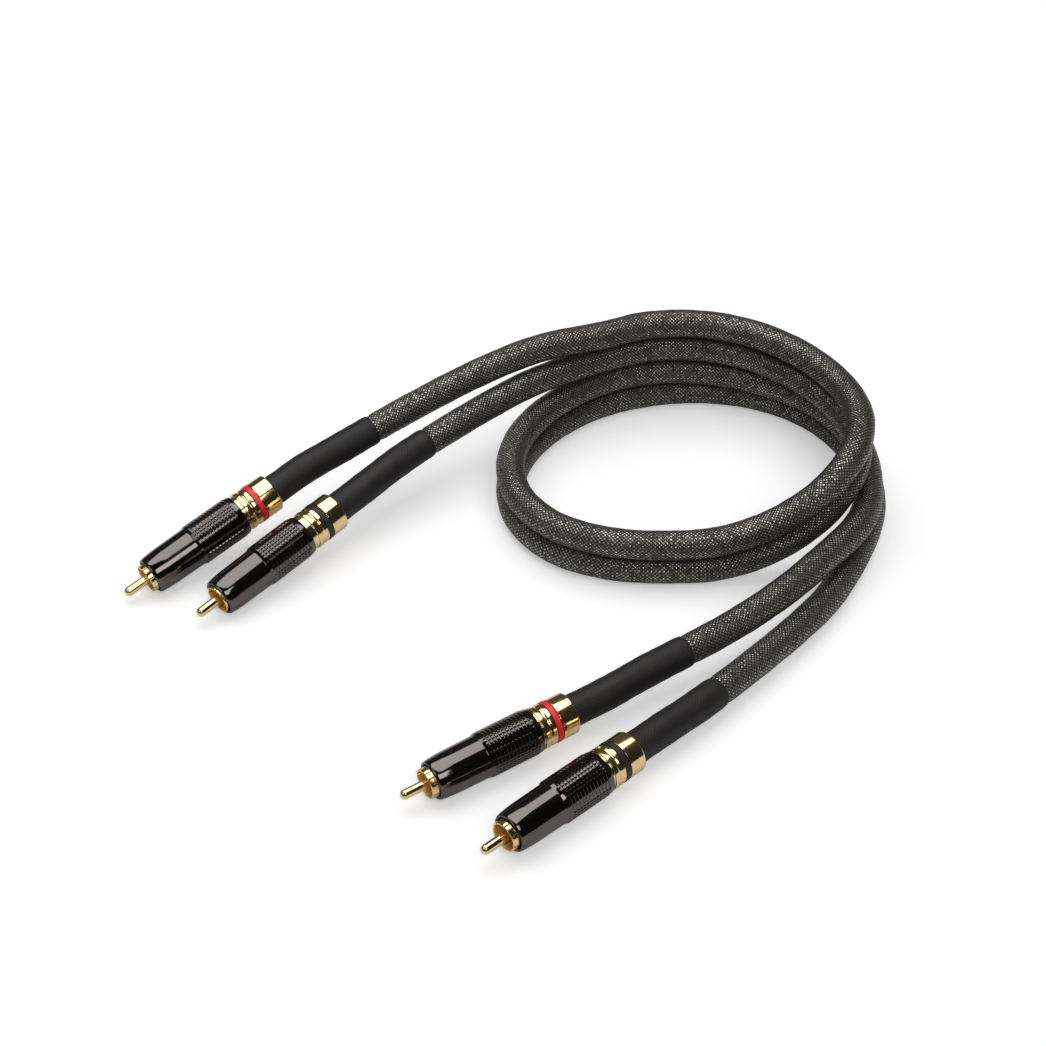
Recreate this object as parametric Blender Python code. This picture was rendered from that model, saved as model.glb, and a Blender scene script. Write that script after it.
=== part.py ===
"""Stereo interconnect cable: two braided leads, each ending in a locking phono plug at both ends.

The leads lie coiled together on a table, about one turn and a half, and their four plugs rest beside
the coil. Units are metres, +Z is up and the table is z = 0. The origin is the centre of the layout,
on the table.

Every plug is built in its own frame: the tip of its center pin is the origin and local +Z runs
from the pin towards the lead. "Station" below means a distance along that axis from the pin's tip.
"""

import math
from collections import namedtuple

import bmesh
import bpy
from mathutils import Vector

for leftover in list(bpy.data.objects):
    bpy.data.objects.remove(leftover, do_unlink=True)

GAP = 0.0003  # clearance between pieces that touch

# ---- center pin and its insulator
PIN_RADIUS = 0.0016
PIN_LENGTH = 0.0270
PIN_ROUND = 0.0012
INSULATOR_WALL = 0.00195
INSULATOR_START = 0.0170
INSULATOR_LENGTH = 0.0085
INSULATOR_RADIUS = PIN_RADIUS + GAP + INSULATOR_WALL

# ---- contact body: slotted ground ring in front, tube behind it
RING_WALL = 0.00078
RING_SWELL = 0.00022
RING_START = 0.0085
RING_LEAD_IN = 0.0040
RING_SLOTS = 8
SLOT_WIDTH = 0.00035
SLOT_OVERRUN = 0.0040
SLOT_MARGIN = 0.0020
RING_BORE = INSULATOR_RADIUS + GAP
RING_RADIUS = RING_BORE + RING_WALL
INSULATOR_STOP = INSULATOR_START + INSULATOR_LENGTH
BODY_START = 0.0226
BODY_WALL = 0.0010
SLOT_END = BODY_START - SLOT_MARGIN

# ---- rear shell: spigot, neck, two beads, band seat and collar
SPIGOT_RADIUS = 0.0049
SPIGOT_LENGTH = 0.0057
NECK_LAP = 0.0002
NECK_RADIUS = 0.0065
BEAD_RADIUS = 0.00695
FRONT_BEAD_WIDTH = 0.0017
BEAD_GROOVE_WIDTH = 0.0012
BEAD_GROOVE_DEPTH = 0.00035
REAR_BEAD_WIDTH = 0.0013
BAND_WIDTH = 0.0018
BAND_WALL = 0.00045
BAND_SEAT_RADIUS = 0.0062
COLLAR_RADIUS = 0.00685
COLLAR_LENGTH = 0.0062
COLLAR_BEVEL = 0.0006

# ---- sliding barrel
BARREL_NOSE = 0.0093
BARREL_LENGTH = 0.0369
BARREL_TRAVEL = 0.0020
BARREL_WALL = 0.0005
BARREL_NOSE_TAPER = 0.0008
NOSE_ROUND = 0.0040
KNURL_RISE = 0.00045
KNURL_PITCH = 0.00133
KNURL_RINGS = 12
KNURL_DEPTH = 0.00022
END_RING_WIDTH = 0.00224
END_RING_TAPER = 0.0003

# ---- leads and what is on them
LEAD_RADIUS = 0.0050
LEAD_GRIP = 0.90
LEAD_DEPTH = 0.0093
SLEEVE_DEPTH = 0.0043
AXIS_STEP = 0.0120
SLEEVE_WALL = 0.00055
CLAMP_WIDTH = 0.0030
CLAMP_INSET = 0.0006
SIGNAL_WIRE_RADIUS = 0.0008
GROUND_WIRE_RADIUS = 0.0006
GROUND_WIRE_OFFSET = 0.0020
GROUND_WIRE_START = 0.0300

# ---- radii and stations that follow from the sizes above
BODY_BORE = SPIGOT_RADIUS + GAP
BODY_RADIUS = BODY_BORE + BODY_WALL
NECK_START = BARREL_NOSE + BARREL_LENGTH - NECK_LAP
BODY_END = NECK_START - GAP
BARREL_BORE = BODY_RADIUS + GAP
BARREL_RADIUS = BARREL_BORE + BARREL_WALL
KNURL_RADIUS = BARREL_RADIUS + KNURL_RISE
KNURL_START = BARREL_LENGTH - END_RING_WIDTH - KNURL_PITCH * KNURL_RINGS
NOSE_BORE = RING_RADIUS + RING_SWELL + GAP
NOSE_RADIUS = BARREL_RADIUS - BARREL_NOSE_TAPER
NOSE_BORE_LENGTH = BODY_START - GAP - BARREL_TRAVEL - BARREL_NOSE
SKIRT_BORE = NECK_RADIUS + GAP
SKIRT_START = NECK_START - GAP - BARREL_TRAVEL - BARREL_NOSE
BEAD_START = BARREL_NOSE + BARREL_LENGTH + BARREL_TRAVEL + GAP
GROOVE_START = BEAD_START + FRONT_BEAD_WIDTH
REAR_BEAD_START = GROOVE_START + BEAD_GROOVE_WIDTH
SEAT_START = REAR_BEAD_START + REAR_BEAD_WIDTH
COLLAR_START = SEAT_START + BAND_WIDTH + 2 * GAP
COLLAR_END = COLLAR_START + COLLAR_LENGTH
LEAD_START = COLLAR_END - LEAD_DEPTH
SLEEVE_START = COLLAR_END - SLEEVE_DEPTH
SLEEVE_INSET = SLEEVE_START - LEAD_START
CLAMP_START = LEAD_START + CLAMP_INSET
GRIP_RADIUS = LEAD_RADIUS * LEAD_GRIP
SLEEVE_BORE = GRIP_RADIUS + GAP
SLEEVE_RADIUS = SLEEVE_BORE + SLEEVE_WALL
SHELL_BORE = SLEEVE_RADIUS + GAP
WIRE_BORE = GROUND_WIRE_OFFSET + GROUND_WIRE_RADIUS + GAP

# ---- layout on the table
LAYOUT_CENTRE = Vector((-0.00328, -0.04189, 0.0))
LEVEL_PITCH = 2 * LEAD_RADIUS + GAP
REST_LIFT = 0.00004
COIL_CENTRE = (0.0561, 0.0183)
COIL_HALF_AXES = (0.0592, 0.0490)
COIL_TURN = math.radians(-1.9)
COIL_FIRST_ANGLE = 118.0
COIL_STEP = 18.0
COIL_STEPS = 26
COIL_BULGE = (0.0043, -129.0, 33.0)
COIL_LOBES = (-0.00038, -0.0020)
CURVE_STEP = 0.0110

Plug = namedtuple("Plug", "name lead tip_x tip_y heading tilt barrel_back sleeve_length")
PLUGS = {
    "red_a": Plug("red_a", "red", -0.1324, -0.0415, 39.0, 12.5, 0.00100, 0.0465),
    "red_b": Plug("red_b", "red", -0.0368, -0.1356, 33.4, 2.0, 0.00155, 0.0495),
    "black_a": Plug("black_a", "black", -0.1070, -0.0528, 44.8, 8.8, 0.0, 0.0470),
    "black_b": Plug("black_b", "black", -0.0121, -0.1587, 42.4, 0.0, 0.00135, 0.0427),
}

# levels: height of the coil's first and last turn, counted in leads from the table;
# fall: angles between which the lead comes down from the first to the last;
# spread: how far and between which angles its last turn opens outwards
Coil = namedtuple("Coil", "levels fall spread")
Lead = namedtuple("Lead", "name first last leaving coil arriving")
LEADS = (
    Lead(
        "red", "red_a", "red_b",
        ((-62.0, 14.0, 23.0), (-41.0, 27.8, 28.0), (-15.5, 42.5, 33.6), (5.9, 53.1, 36.4)),
        Coil((3, 1), (-8.9, -92.2), (0.0047, -280.0, -333.0)),
        ((117.8, 25.0, 15.4), (119.0, 3.0, 15.4), (113.9, -17.6, 15.3), (97.4, -39.2, 15.2),
         (81.7, -54.9, 13.8), (63.7, -68.8, 11.9), (40.3, -84.2, 10.2)),
    ),
    Lead(
        "black", "black_a", "black_b",
        ((-42.8, 10.8, 19.0), (-29.8, 21.9, 21.4), (-11.0, 36.6, 24.4), (6.1, 48.8, 26.0)),
        Coil((2, 0), (-7.9, -88.7), (0.0076, -255.0, -324.0)),
        ((120.3, 25.0, 5.1), (121.2, 4.8, 5.1), (115.6, -16.0, 5.1), (103.1, -41.6, 5.1),
         (90.2, -59.5, 5.9), (71.7, -80.4, 6.7), (55.8, -96.6, 7.1)),
    ),
)


def make_material(name, colour, roughness, metallic):
    """A plain Principled material."""
    material = bpy.data.materials.new(name)
    material.use_nodes = True
    shader = material.node_tree.nodes["Principled BSDF"]
    shader.inputs["Base Color"].default_value = (*colour, 1.0)
    shader.inputs["Roughness"].default_value = roughness
    shader.inputs["Metallic"].default_value = metallic
    return material


MATERIALS = {
    "gold": make_material("gold", (0.90, 0.62, 0.27), 0.14, 1.0),
    "black_chrome": make_material("black_chrome", (0.035, 0.034, 0.036), 0.12, 0.9),
    "insulator": make_material("insulator", (0.85, 0.84, 0.80), 0.45, 0.0),
    "sleeve": make_material("sleeve", (0.014, 0.014, 0.015), 0.65, 0.0),
    "braid": make_material("braid", (0.060, 0.056, 0.050), 0.50, 0.1),
    "red_band": make_material("red_band", (0.62, 0.010, 0.016), 0.35, 0.0),
    "black_band": make_material("black_band", (0.012, 0.012, 0.013), 0.45, 0.0),
    "clamp": make_material("clamp", (0.55, 0.54, 0.52), 0.35, 1.0),
    "wire": make_material("wire", (0.70, 0.34, 0.20), 0.30, 1.0),
}


def link_mesh(name, mesh, material, parent, location=(0.0, 0.0, 0.0)):
    """Put a mesh in the scene as one object, smooth where its faces meet at a small angle."""
    mesh.shade_smooth()
    mesh.set_sharp_from_angle(angle=math.radians(30.0))
    mesh.materials.append(MATERIALS[material])
    piece = bpy.data.objects.new(name, mesh)
    piece.location = location
    piece.parent = parent
    bpy.context.scene.collection.objects.link(piece)
    return piece


def ring_of(bm, radius, height, segments):
    """One ring of vertices about local Z, or a single vertex where the radius is zero."""
    if radius == 0.0:
        return [bm.verts.new((0.0, 0.0, height))]
    return [
        bm.verts.new((
            radius * math.cos(2 * math.pi * k / segments),
            radius * math.sin(2 * math.pi * k / segments),
            height,
        ))
        for k in range(segments)
    ]


def join_rings(bm, first, second):
    """Faces between two rings, or between a ring and a pole."""
    count = max(len(first), len(second))
    for k in range(count):
        n = (k + 1) % count
        if len(first) == 1:
            bm.faces.new((first[0], second[n], second[k]))
        elif len(second) == 1:
            bm.faces.new((first[k], first[n], second[0]))
        else:
            bm.faces.new((first[k], first[n], second[n], second[k]))


def turned(name, profile, segments, material, parent, location=(0.0, 0.0, 0.0), offset=(0.0, 0.0)):
    """A solid turned about local Z.

    The profile lists (radius, height) pairs. It runs from a pole to a pole on a solid piece, and
    round in a loop, outer side first, on a tube.
    """
    bm = bmesh.new()
    rings = [ring_of(bm, radius, height, segments) for radius, height in profile]
    for first, second in zip(rings, rings[1:]):
        join_rings(bm, first, second)
    if len(rings[0]) > 1:
        join_rings(bm, rings[-1], rings[0])
    bmesh.ops.translate(bm, verts=bm.verts, vec=(offset[0], offset[1], 0.0))
    bmesh.ops.recalc_face_normals(bm, faces=bm.faces)
    mesh = bpy.data.meshes.new(name)
    bm.to_mesh(mesh)
    bm.free()
    return link_mesh(name, mesh, material, parent, location)


def rod(name, radius, start, end, segments, material, parent, offset=(0.0, 0.0)):
    """A plain round rod between two stations."""
    profile = [(0.0, start), (radius, start), (radius, end), (0.0, end)]
    return turned(name, profile, segments, material, parent, offset=offset)


def tube(name, bore, radius, start, end, segments, material, parent):
    """A plain round tube between two stations."""
    profile = [(radius, start), (radius, end), (bore, end), (bore, start)]
    return turned(name, profile, segments, material, parent)


def plug_axis(plug):
    """Unit vector from the pin's tip towards the lead."""
    heading = math.radians(plug.heading)
    tilt = math.radians(plug.tilt)
    return Vector((
        math.cos(heading) * math.cos(tilt),
        math.sin(heading) * math.cos(tilt),
        math.sin(tilt),
    ))


def barrel_outline(nose):
    """Outer side of a barrel whose nose is at the given height, as (radius, height) pairs."""
    outline = [
        (NOSE_RADIUS, nose),
        (NOSE_RADIUS + 0.25 * BARREL_NOSE_TAPER, nose + 0.15 * NOSE_ROUND),
        (NOSE_RADIUS + 0.45 * BARREL_NOSE_TAPER, nose + 0.325 * NOSE_ROUND),
        (NOSE_RADIUS + 0.62 * BARREL_NOSE_TAPER, nose + 0.625 * NOSE_ROUND),
        (NOSE_RADIUS + 0.75 * BARREL_NOSE_TAPER, nose + NOSE_ROUND),
        (BARREL_RADIUS, nose + KNURL_START - 2 * KNURL_RISE),
        (KNURL_RADIUS, nose + KNURL_START),
    ]
    for k in range(KNURL_RINGS):
        outline.append((KNURL_RADIUS - KNURL_DEPTH, nose + KNURL_START + KNURL_PITCH * (k + 0.5)))
        outline.append((KNURL_RADIUS, nose + KNURL_START + KNURL_PITCH * (k + 1)))
    outline.append((KNURL_RADIUS - END_RING_TAPER, nose + BARREL_LENGTH))
    return outline


def shell_outline():
    """Outer side of the rear shell behind its spigot, as (radius, station) pairs."""
    return [
        (NECK_RADIUS, NECK_START),
        (NECK_RADIUS, BEAD_START),
        (BEAD_RADIUS, BEAD_START),
        (BEAD_RADIUS, GROOVE_START),
        (BEAD_RADIUS - BEAD_GROOVE_DEPTH, GROOVE_START + 0.5 * BEAD_GROOVE_WIDTH),
        (COLLAR_RADIUS, REAR_BEAD_START),
        (COLLAR_RADIUS, SEAT_START),
        (BAND_SEAT_RADIUS, SEAT_START),
        (BAND_SEAT_RADIUS, COLLAR_START),
        (COLLAR_RADIUS, COLLAR_START),
        (COLLAR_RADIUS, COLLAR_END - COLLAR_BEVEL),
        (COLLAR_RADIUS - COLLAR_BEVEL, COLLAR_END),
    ]


def tip_height(plug):
    """Height of the pin's tip at which the plug's lowest edge just rests on the table."""
    tilt = math.radians(plug.tilt)
    edges = barrel_outline(BARREL_NOSE + plug.barrel_back) + shell_outline()
    return max(radius * math.cos(tilt) - station * math.sin(tilt) for radius, station in edges)


def plug_tip(plug):
    """World position of the pin's tip."""
    return Vector((plug.tip_x, plug.tip_y, tip_height(plug))) - LAYOUT_CENTRE


def add_contact_body(prefix, parent):
    """Ground ring with its slots and the tube behind it, one solid."""
    profile = [
        (RING_RADIUS, RING_START),
        (RING_RADIUS + RING_SWELL, RING_START + RING_LEAD_IN),
        (RING_RADIUS + RING_SWELL, BODY_START),
        (BODY_RADIUS, BODY_START),
        (BODY_RADIUS, BODY_END),
        (BODY_BORE, BODY_END),
        (BODY_BORE, INSULATOR_STOP + GAP),
        (RING_BORE, INSULATOR_STOP + GAP),
        (RING_BORE, RING_START),
    ]
    body = turned(f"{prefix}_contact_body", profile, 20, "gold", parent)
    reach = 2 * BODY_RADIUS
    for k in range(RING_SLOTS // 2):
        # half a facet of turn keeps a slot off the ring's own edges
        turn = math.pi * (k + 0.25) / (RING_SLOTS // 2)
        bm = bmesh.new()
        bmesh.ops.create_cube(bm, size=1.0)
        length = SLOT_END - RING_START + SLOT_OVERRUN
        bmesh.ops.scale(bm, verts=bm.verts, vec=(2 * reach, SLOT_WIDTH, length))
        mesh = bpy.data.meshes.new(f"{prefix}_slot_cutter_{k}")
        bm.to_mesh(mesh)
        bm.free()
        cutter = bpy.data.objects.new(mesh.name, mesh)
        cutter.parent = parent
        cutter.location = (0.0, 0.0, 0.5 * (SLOT_END + RING_START - SLOT_OVERRUN))
        cutter.rotation_euler = (0.0, 0.0, turn)
        cutter.hide_render = True
        cutter.display_type = "WIRE"
        bpy.context.scene.collection.objects.link(cutter)
        cut = body.modifiers.new(f"slot_{k}", "BOOLEAN")
        cut.operation = "DIFFERENCE"
        cut.solver = "EXACT"
        cut.object = cutter


def add_rear_shell(prefix, parent):
    """Screwed-in rear shell: spigot inside the contact body, neck, beads, band seat, collar."""
    spigot_start = BODY_END - SPIGOT_LENGTH
    profile = [(SPIGOT_RADIUS, spigot_start), (SPIGOT_RADIUS, NECK_START)]
    profile += shell_outline()
    profile += [
        (SHELL_BORE, COLLAR_END),
        (SHELL_BORE, LEAD_START - GAP),
        (WIRE_BORE, LEAD_START - GAP),
        (WIRE_BORE, spigot_start),
    ]
    turned(f"{prefix}_rear_shell", profile, 20, "gold", parent)


def add_barrel(prefix, plug, parent):
    """Outer barrel that runs forward and back over the contact body."""
    profile = barrel_outline(0.0)
    profile += [
        (SKIRT_BORE, BARREL_LENGTH),
        (SKIRT_BORE, SKIRT_START),
        (BARREL_BORE, SKIRT_START),
        (BARREL_BORE, NOSE_BORE_LENGTH),
        (NOSE_BORE, NOSE_BORE_LENGTH),
        (NOSE_BORE, 0.0),
    ]
    seat = (0.0, 0.0, BARREL_NOSE + plug.barrel_back)
    turned(f"{prefix}_barrel", profile, 16, "black_chrome", parent, seat)


def add_plug(plug):
    """All the rigid pieces of one plug, under an empty at its pin's tip."""
    frame = bpy.data.objects.new(f"{plug.name}_plug", None)
    frame.location = plug_tip(plug)
    frame.rotation_mode = "QUATERNION"
    frame.rotation_quaternion = plug_axis(plug).to_track_quat("Z", "Y")
    bpy.context.scene.collection.objects.link(frame)
    prefix = plug.name
    pin = [
        (0.0, 0.0),
        (0.55 * PIN_RADIUS, 0.2 * PIN_ROUND),
        (0.87 * PIN_RADIUS, 0.5 * PIN_ROUND),
        (PIN_RADIUS, PIN_ROUND),
        (PIN_RADIUS, PIN_LENGTH),
        (0.0, PIN_LENGTH),
    ]
    turned(f"{prefix}_center_pin", pin, 12, "gold", frame)
    tube(f"{prefix}_insulator", PIN_RADIUS + GAP, INSULATOR_RADIUS, INSULATOR_START,
         INSULATOR_STOP, 12, "insulator", frame)
    add_contact_body(prefix, frame)
    add_barrel(prefix, plug, frame)
    add_rear_shell(prefix, frame)
    tube(f"{prefix}_color_band", BAND_SEAT_RADIUS + GAP, BAND_SEAT_RADIUS + GAP + BAND_WALL,
         SEAT_START + GAP, COLLAR_START - GAP, 20, f"{plug.lead}_band", frame)
    tube(f"{prefix}_cable_clamp", SLEEVE_BORE, SHELL_BORE - GAP, CLAMP_START,
         CLAMP_START + CLAMP_WIDTH, 12, "clamp", frame)
    rod(f"{prefix}_signal_wire", SIGNAL_WIRE_RADIUS, PIN_LENGTH + GAP, LEAD_START - GAP,
        6, "wire", frame)
    rod(f"{prefix}_ground_wire", GROUND_WIRE_RADIUS, GROUND_WIRE_START, LEAD_START - GAP,
        6, "wire", frame, offset=(GROUND_WIRE_OFFSET, 0.0))


def ease(angle, start, end):
    """0 before the start angle, 1 past the end angle and a smooth S between them."""
    t = min(max((start - angle) / (start - end), 0.0), 1.0)
    return t * t * (3.0 - 2.0 * t)


def coil_points(coil):
    """Points of a lead's turns round the coil, clockwise seen from above."""
    half_x, half_y = COIL_HALF_AXES
    bulge, bulge_angle, bulge_width = COIL_BULGE
    high, low = coil.levels
    opening, open_start, open_end = coil.spread
    points = []
    for step in range(COIL_STEPS):
        angle = COIL_FIRST_ANGLE - COIL_STEP * step
        level = high + (low - high) * ease(angle, *coil.fall)
        out = opening * ease(angle, open_start, open_end)
        out += bulge * math.exp(-(((angle - bulge_angle) / bulge_width) ** 2))
        out += COIL_LOBES[0] * math.cos(math.radians(3 * angle))
        out += COIL_LOBES[1] * math.sin(math.radians(3 * angle))
        turn = math.radians(angle) - COIL_TURN
        u = (half_x + out) * math.cos(turn)
        v = (half_y + out) * math.sin(turn)
        points.append(Vector((
            COIL_CENTRE[0] + u * math.cos(COIL_TURN) - v * math.sin(COIL_TURN),
            COIL_CENTRE[1] + u * math.sin(COIL_TURN) + v * math.cos(COIL_TURN),
            LEAD_RADIUS + REST_LIFT + LEVEL_PITCH * level,
        )))
    return points


def smooth_through(points, per_span=12):
    """A smooth curve through the points, as a dense list."""
    padded = [2 * points[0] - points[1], *points, 2 * points[-1] - points[-2]]
    dense = []
    for p0, p1, p2, p3 in zip(padded, padded[1:], padded[2:], padded[3:]):
        for k in range(per_span):
            t = k / per_span
            dense.append(0.5 * (
                2 * p1 + (p2 - p0) * t + (2 * p0 - 5 * p1 + 4 * p2 - p3) * t ** 2
                + (3 * p1 - p0 - 3 * p2 + p3) * t ** 3
            ))
    dense.append(points[-1])
    return dense


def stations_of(points):
    """Length along a list of points at each of them."""
    lengths = [0.0]
    for first, second in zip(points, points[1:]):
        lengths.append(lengths[-1] + (second - first).length)
    return lengths


def point_at(points, lengths, distance):
    """The point at a distance along the list of points."""
    for k in range(len(points) - 1):
        if distance <= lengths[k + 1]:
            share = (distance - lengths[k]) / (lengths[k + 1] - lengths[k])
            return points[k].lerp(points[k + 1], share)
    return points[-1].copy()


def evenly_spaced(points, step):
    """Points at equal distances along the curve, about one step apart, both ends kept."""
    lengths = stations_of(points)
    count = max(2, round(lengths[-1] / step))
    return [point_at(points, lengths, lengths[-1] * k / count) for k in range(count + 1)]


def lead_route(lead):
    """The lead's whole centre line, from one plug to the other."""
    ends = []
    for name in (lead.first, lead.last):
        plug = PLUGS[name]
        tip = plug_tip(plug)
        axis = plug_axis(plug)
        ends.append([tip + axis * (LEAD_START + AXIS_STEP * k) for k in range(3)])
    leaving = [Vector(p) * 0.001 - LAYOUT_CENTRE for p in lead.leaving]
    turns = [p - LAYOUT_CENTRE for p in coil_points(lead.coil)]
    arriving = [Vector(p) * 0.001 - LAYOUT_CENTRE for p in lead.arriving]
    route = ends[0] + leaving + turns + arriving + ends[1][::-1]
    return evenly_spaced(smooth_through(route), CURVE_STEP)


def add_lead(lead, route):
    """The braided lead itself, slimmer where its sleeves grip it."""
    curve = bpy.data.curves.new(f"{lead.name}_lead", "CURVE")
    curve.dimensions = "3D"
    curve.bevel_depth = LEAD_RADIUS
    curve.bevel_resolution = 3
    curve.use_fill_caps = True
    curve.render_resolution_u = 0
    spline = curve.splines.new("POLY")
    spline.points.add(len(route) - 1)
    lengths = stations_of(route)
    first_grip = SLEEVE_INSET + PLUGS[lead.first].sleeve_length + CURVE_STEP
    last_grip = SLEEVE_INSET + PLUGS[lead.last].sleeve_length + CURVE_STEP
    for point, place, along in zip(spline.points, route, lengths):
        point.co = (*place, 1.0)
        held = along < first_grip or along > lengths[-1] - last_grip
        point.radius = LEAD_GRIP if held else 1.0
    curve.materials.append(MATERIALS["braid"])
    piece = bpy.data.objects.new(f"{lead.name}_lead", curve)
    bpy.context.scene.collection.objects.link(piece)


def stretch(points, start, end):
    """The part of a list of points between two distances along it."""
    lengths = stations_of(points)
    inner = [p for p, along in zip(points, lengths) if start + 0.0005 < along < end - 0.0005]
    return [point_at(points, lengths, start), *inner, point_at(points, lengths, end)]


def add_sleeve(name, path):
    """A heat-shrink sleeve: a bent tube along the path."""
    segments = 12
    bm = bmesh.new()
    side = (path[1] - path[0]).orthogonal().normalized()
    outer = []
    inner = []
    for k, place in enumerate(path):
        before = path[max(k - 1, 0)]
        after = path[min(k + 1, len(path) - 1)]
        along = (after - before).normalized()
        side = (side - along * side.dot(along)).normalized()
        across = along.cross(side)
        for ring, radius in ((outer, SLEEVE_RADIUS), (inner, SLEEVE_BORE)):
            ring.append([
                bm.verts.new(
                    place
                    + side * (radius * math.cos(2 * math.pi * j / segments))
                    + across * (radius * math.sin(2 * math.pi * j / segments))
                )
                for j in range(segments)
            ])
    loop = outer + inner[::-1]
    for first, second in zip(loop, loop[1:]):
        join_rings(bm, first, second)
    join_rings(bm, loop[-1], loop[0])
    bmesh.ops.recalc_face_normals(bm, faces=bm.faces)
    mesh = bpy.data.meshes.new(name)
    bm.to_mesh(mesh)
    bm.free()
    link_mesh(name, mesh, "sleeve", None)


for each_plug in PLUGS.values():
    add_plug(each_plug)

for each_lead in LEADS:
    centre_line = lead_route(each_lead)
    add_lead(each_lead, centre_line)
    for each_name, path in ((each_lead.first, centre_line), (each_lead.last, centre_line[::-1])):
        sleeve_end = SLEEVE_INSET + PLUGS[each_name].sleeve_length
        add_sleeve(f"{each_name}_heat_shrink", stretch(path, SLEEVE_INSET, sleeve_end))
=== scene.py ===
"""Dressed model of a stereo interconnect cable that lies coiled on a table.

Two thick braided leads are wound together about one turn and a half. Each of their four ends has a
locking phono plug: a gold center pin in a slotted gold ground ring, a black chrome barrel with a
knurled grip, a gold rear shell with a coloured band, and a heat-shrink sleeve on the lead.

All lengths are in metres, +Z is up and the table is z = 0. A plug is modelled in its own frame, in
which the tip of its pin is the origin and +Z runs towards the lead, and is then put in its place.
A "station" is a distance along that axis.
"""

import logging
import math
from dataclasses import dataclass, field
from enum import Enum

import bmesh
import bpy
from mathutils import Euler, Matrix, Quaternion, Vector


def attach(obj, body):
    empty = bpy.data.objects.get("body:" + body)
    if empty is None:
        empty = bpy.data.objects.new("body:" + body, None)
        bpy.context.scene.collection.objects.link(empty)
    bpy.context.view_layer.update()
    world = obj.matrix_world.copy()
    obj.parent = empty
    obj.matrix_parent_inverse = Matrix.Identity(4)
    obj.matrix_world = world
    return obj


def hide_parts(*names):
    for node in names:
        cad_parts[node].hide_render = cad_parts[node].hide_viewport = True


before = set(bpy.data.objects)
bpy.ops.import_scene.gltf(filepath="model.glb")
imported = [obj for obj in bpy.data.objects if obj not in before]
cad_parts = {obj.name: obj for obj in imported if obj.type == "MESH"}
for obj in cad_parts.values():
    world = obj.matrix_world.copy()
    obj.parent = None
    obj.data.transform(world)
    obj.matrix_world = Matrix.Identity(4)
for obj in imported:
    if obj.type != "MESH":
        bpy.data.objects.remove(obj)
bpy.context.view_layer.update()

LOG = logging.getLogger("interconnect")

Outline = list[tuple[float, float]]
Colour = tuple[float, float, float]
Wave = tuple[float, float, float]
Socket = bpy.types.NodeSocket


class LeadColour(Enum):
    """The two channels of the stereo pair, told apart by the bands on their plugs."""

    RED = "red"
    BLACK = "black"


class Finish(Enum):
    """Every finish on the cable, by name."""

    GOLD = "gold"
    BLACK_CHROME = "black_chrome"
    INSULATOR = "insulator"
    SLEEVE = "sleeve"
    BRAID = "braid"
    RED_BAND = "red_band"
    BLACK_BAND = "black_band"
    CLAMP = "clamp"
    WIRE = "wire"


# ------------------------------------------------------------------------------------------------
# Node trees
# ------------------------------------------------------------------------------------------------


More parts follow.
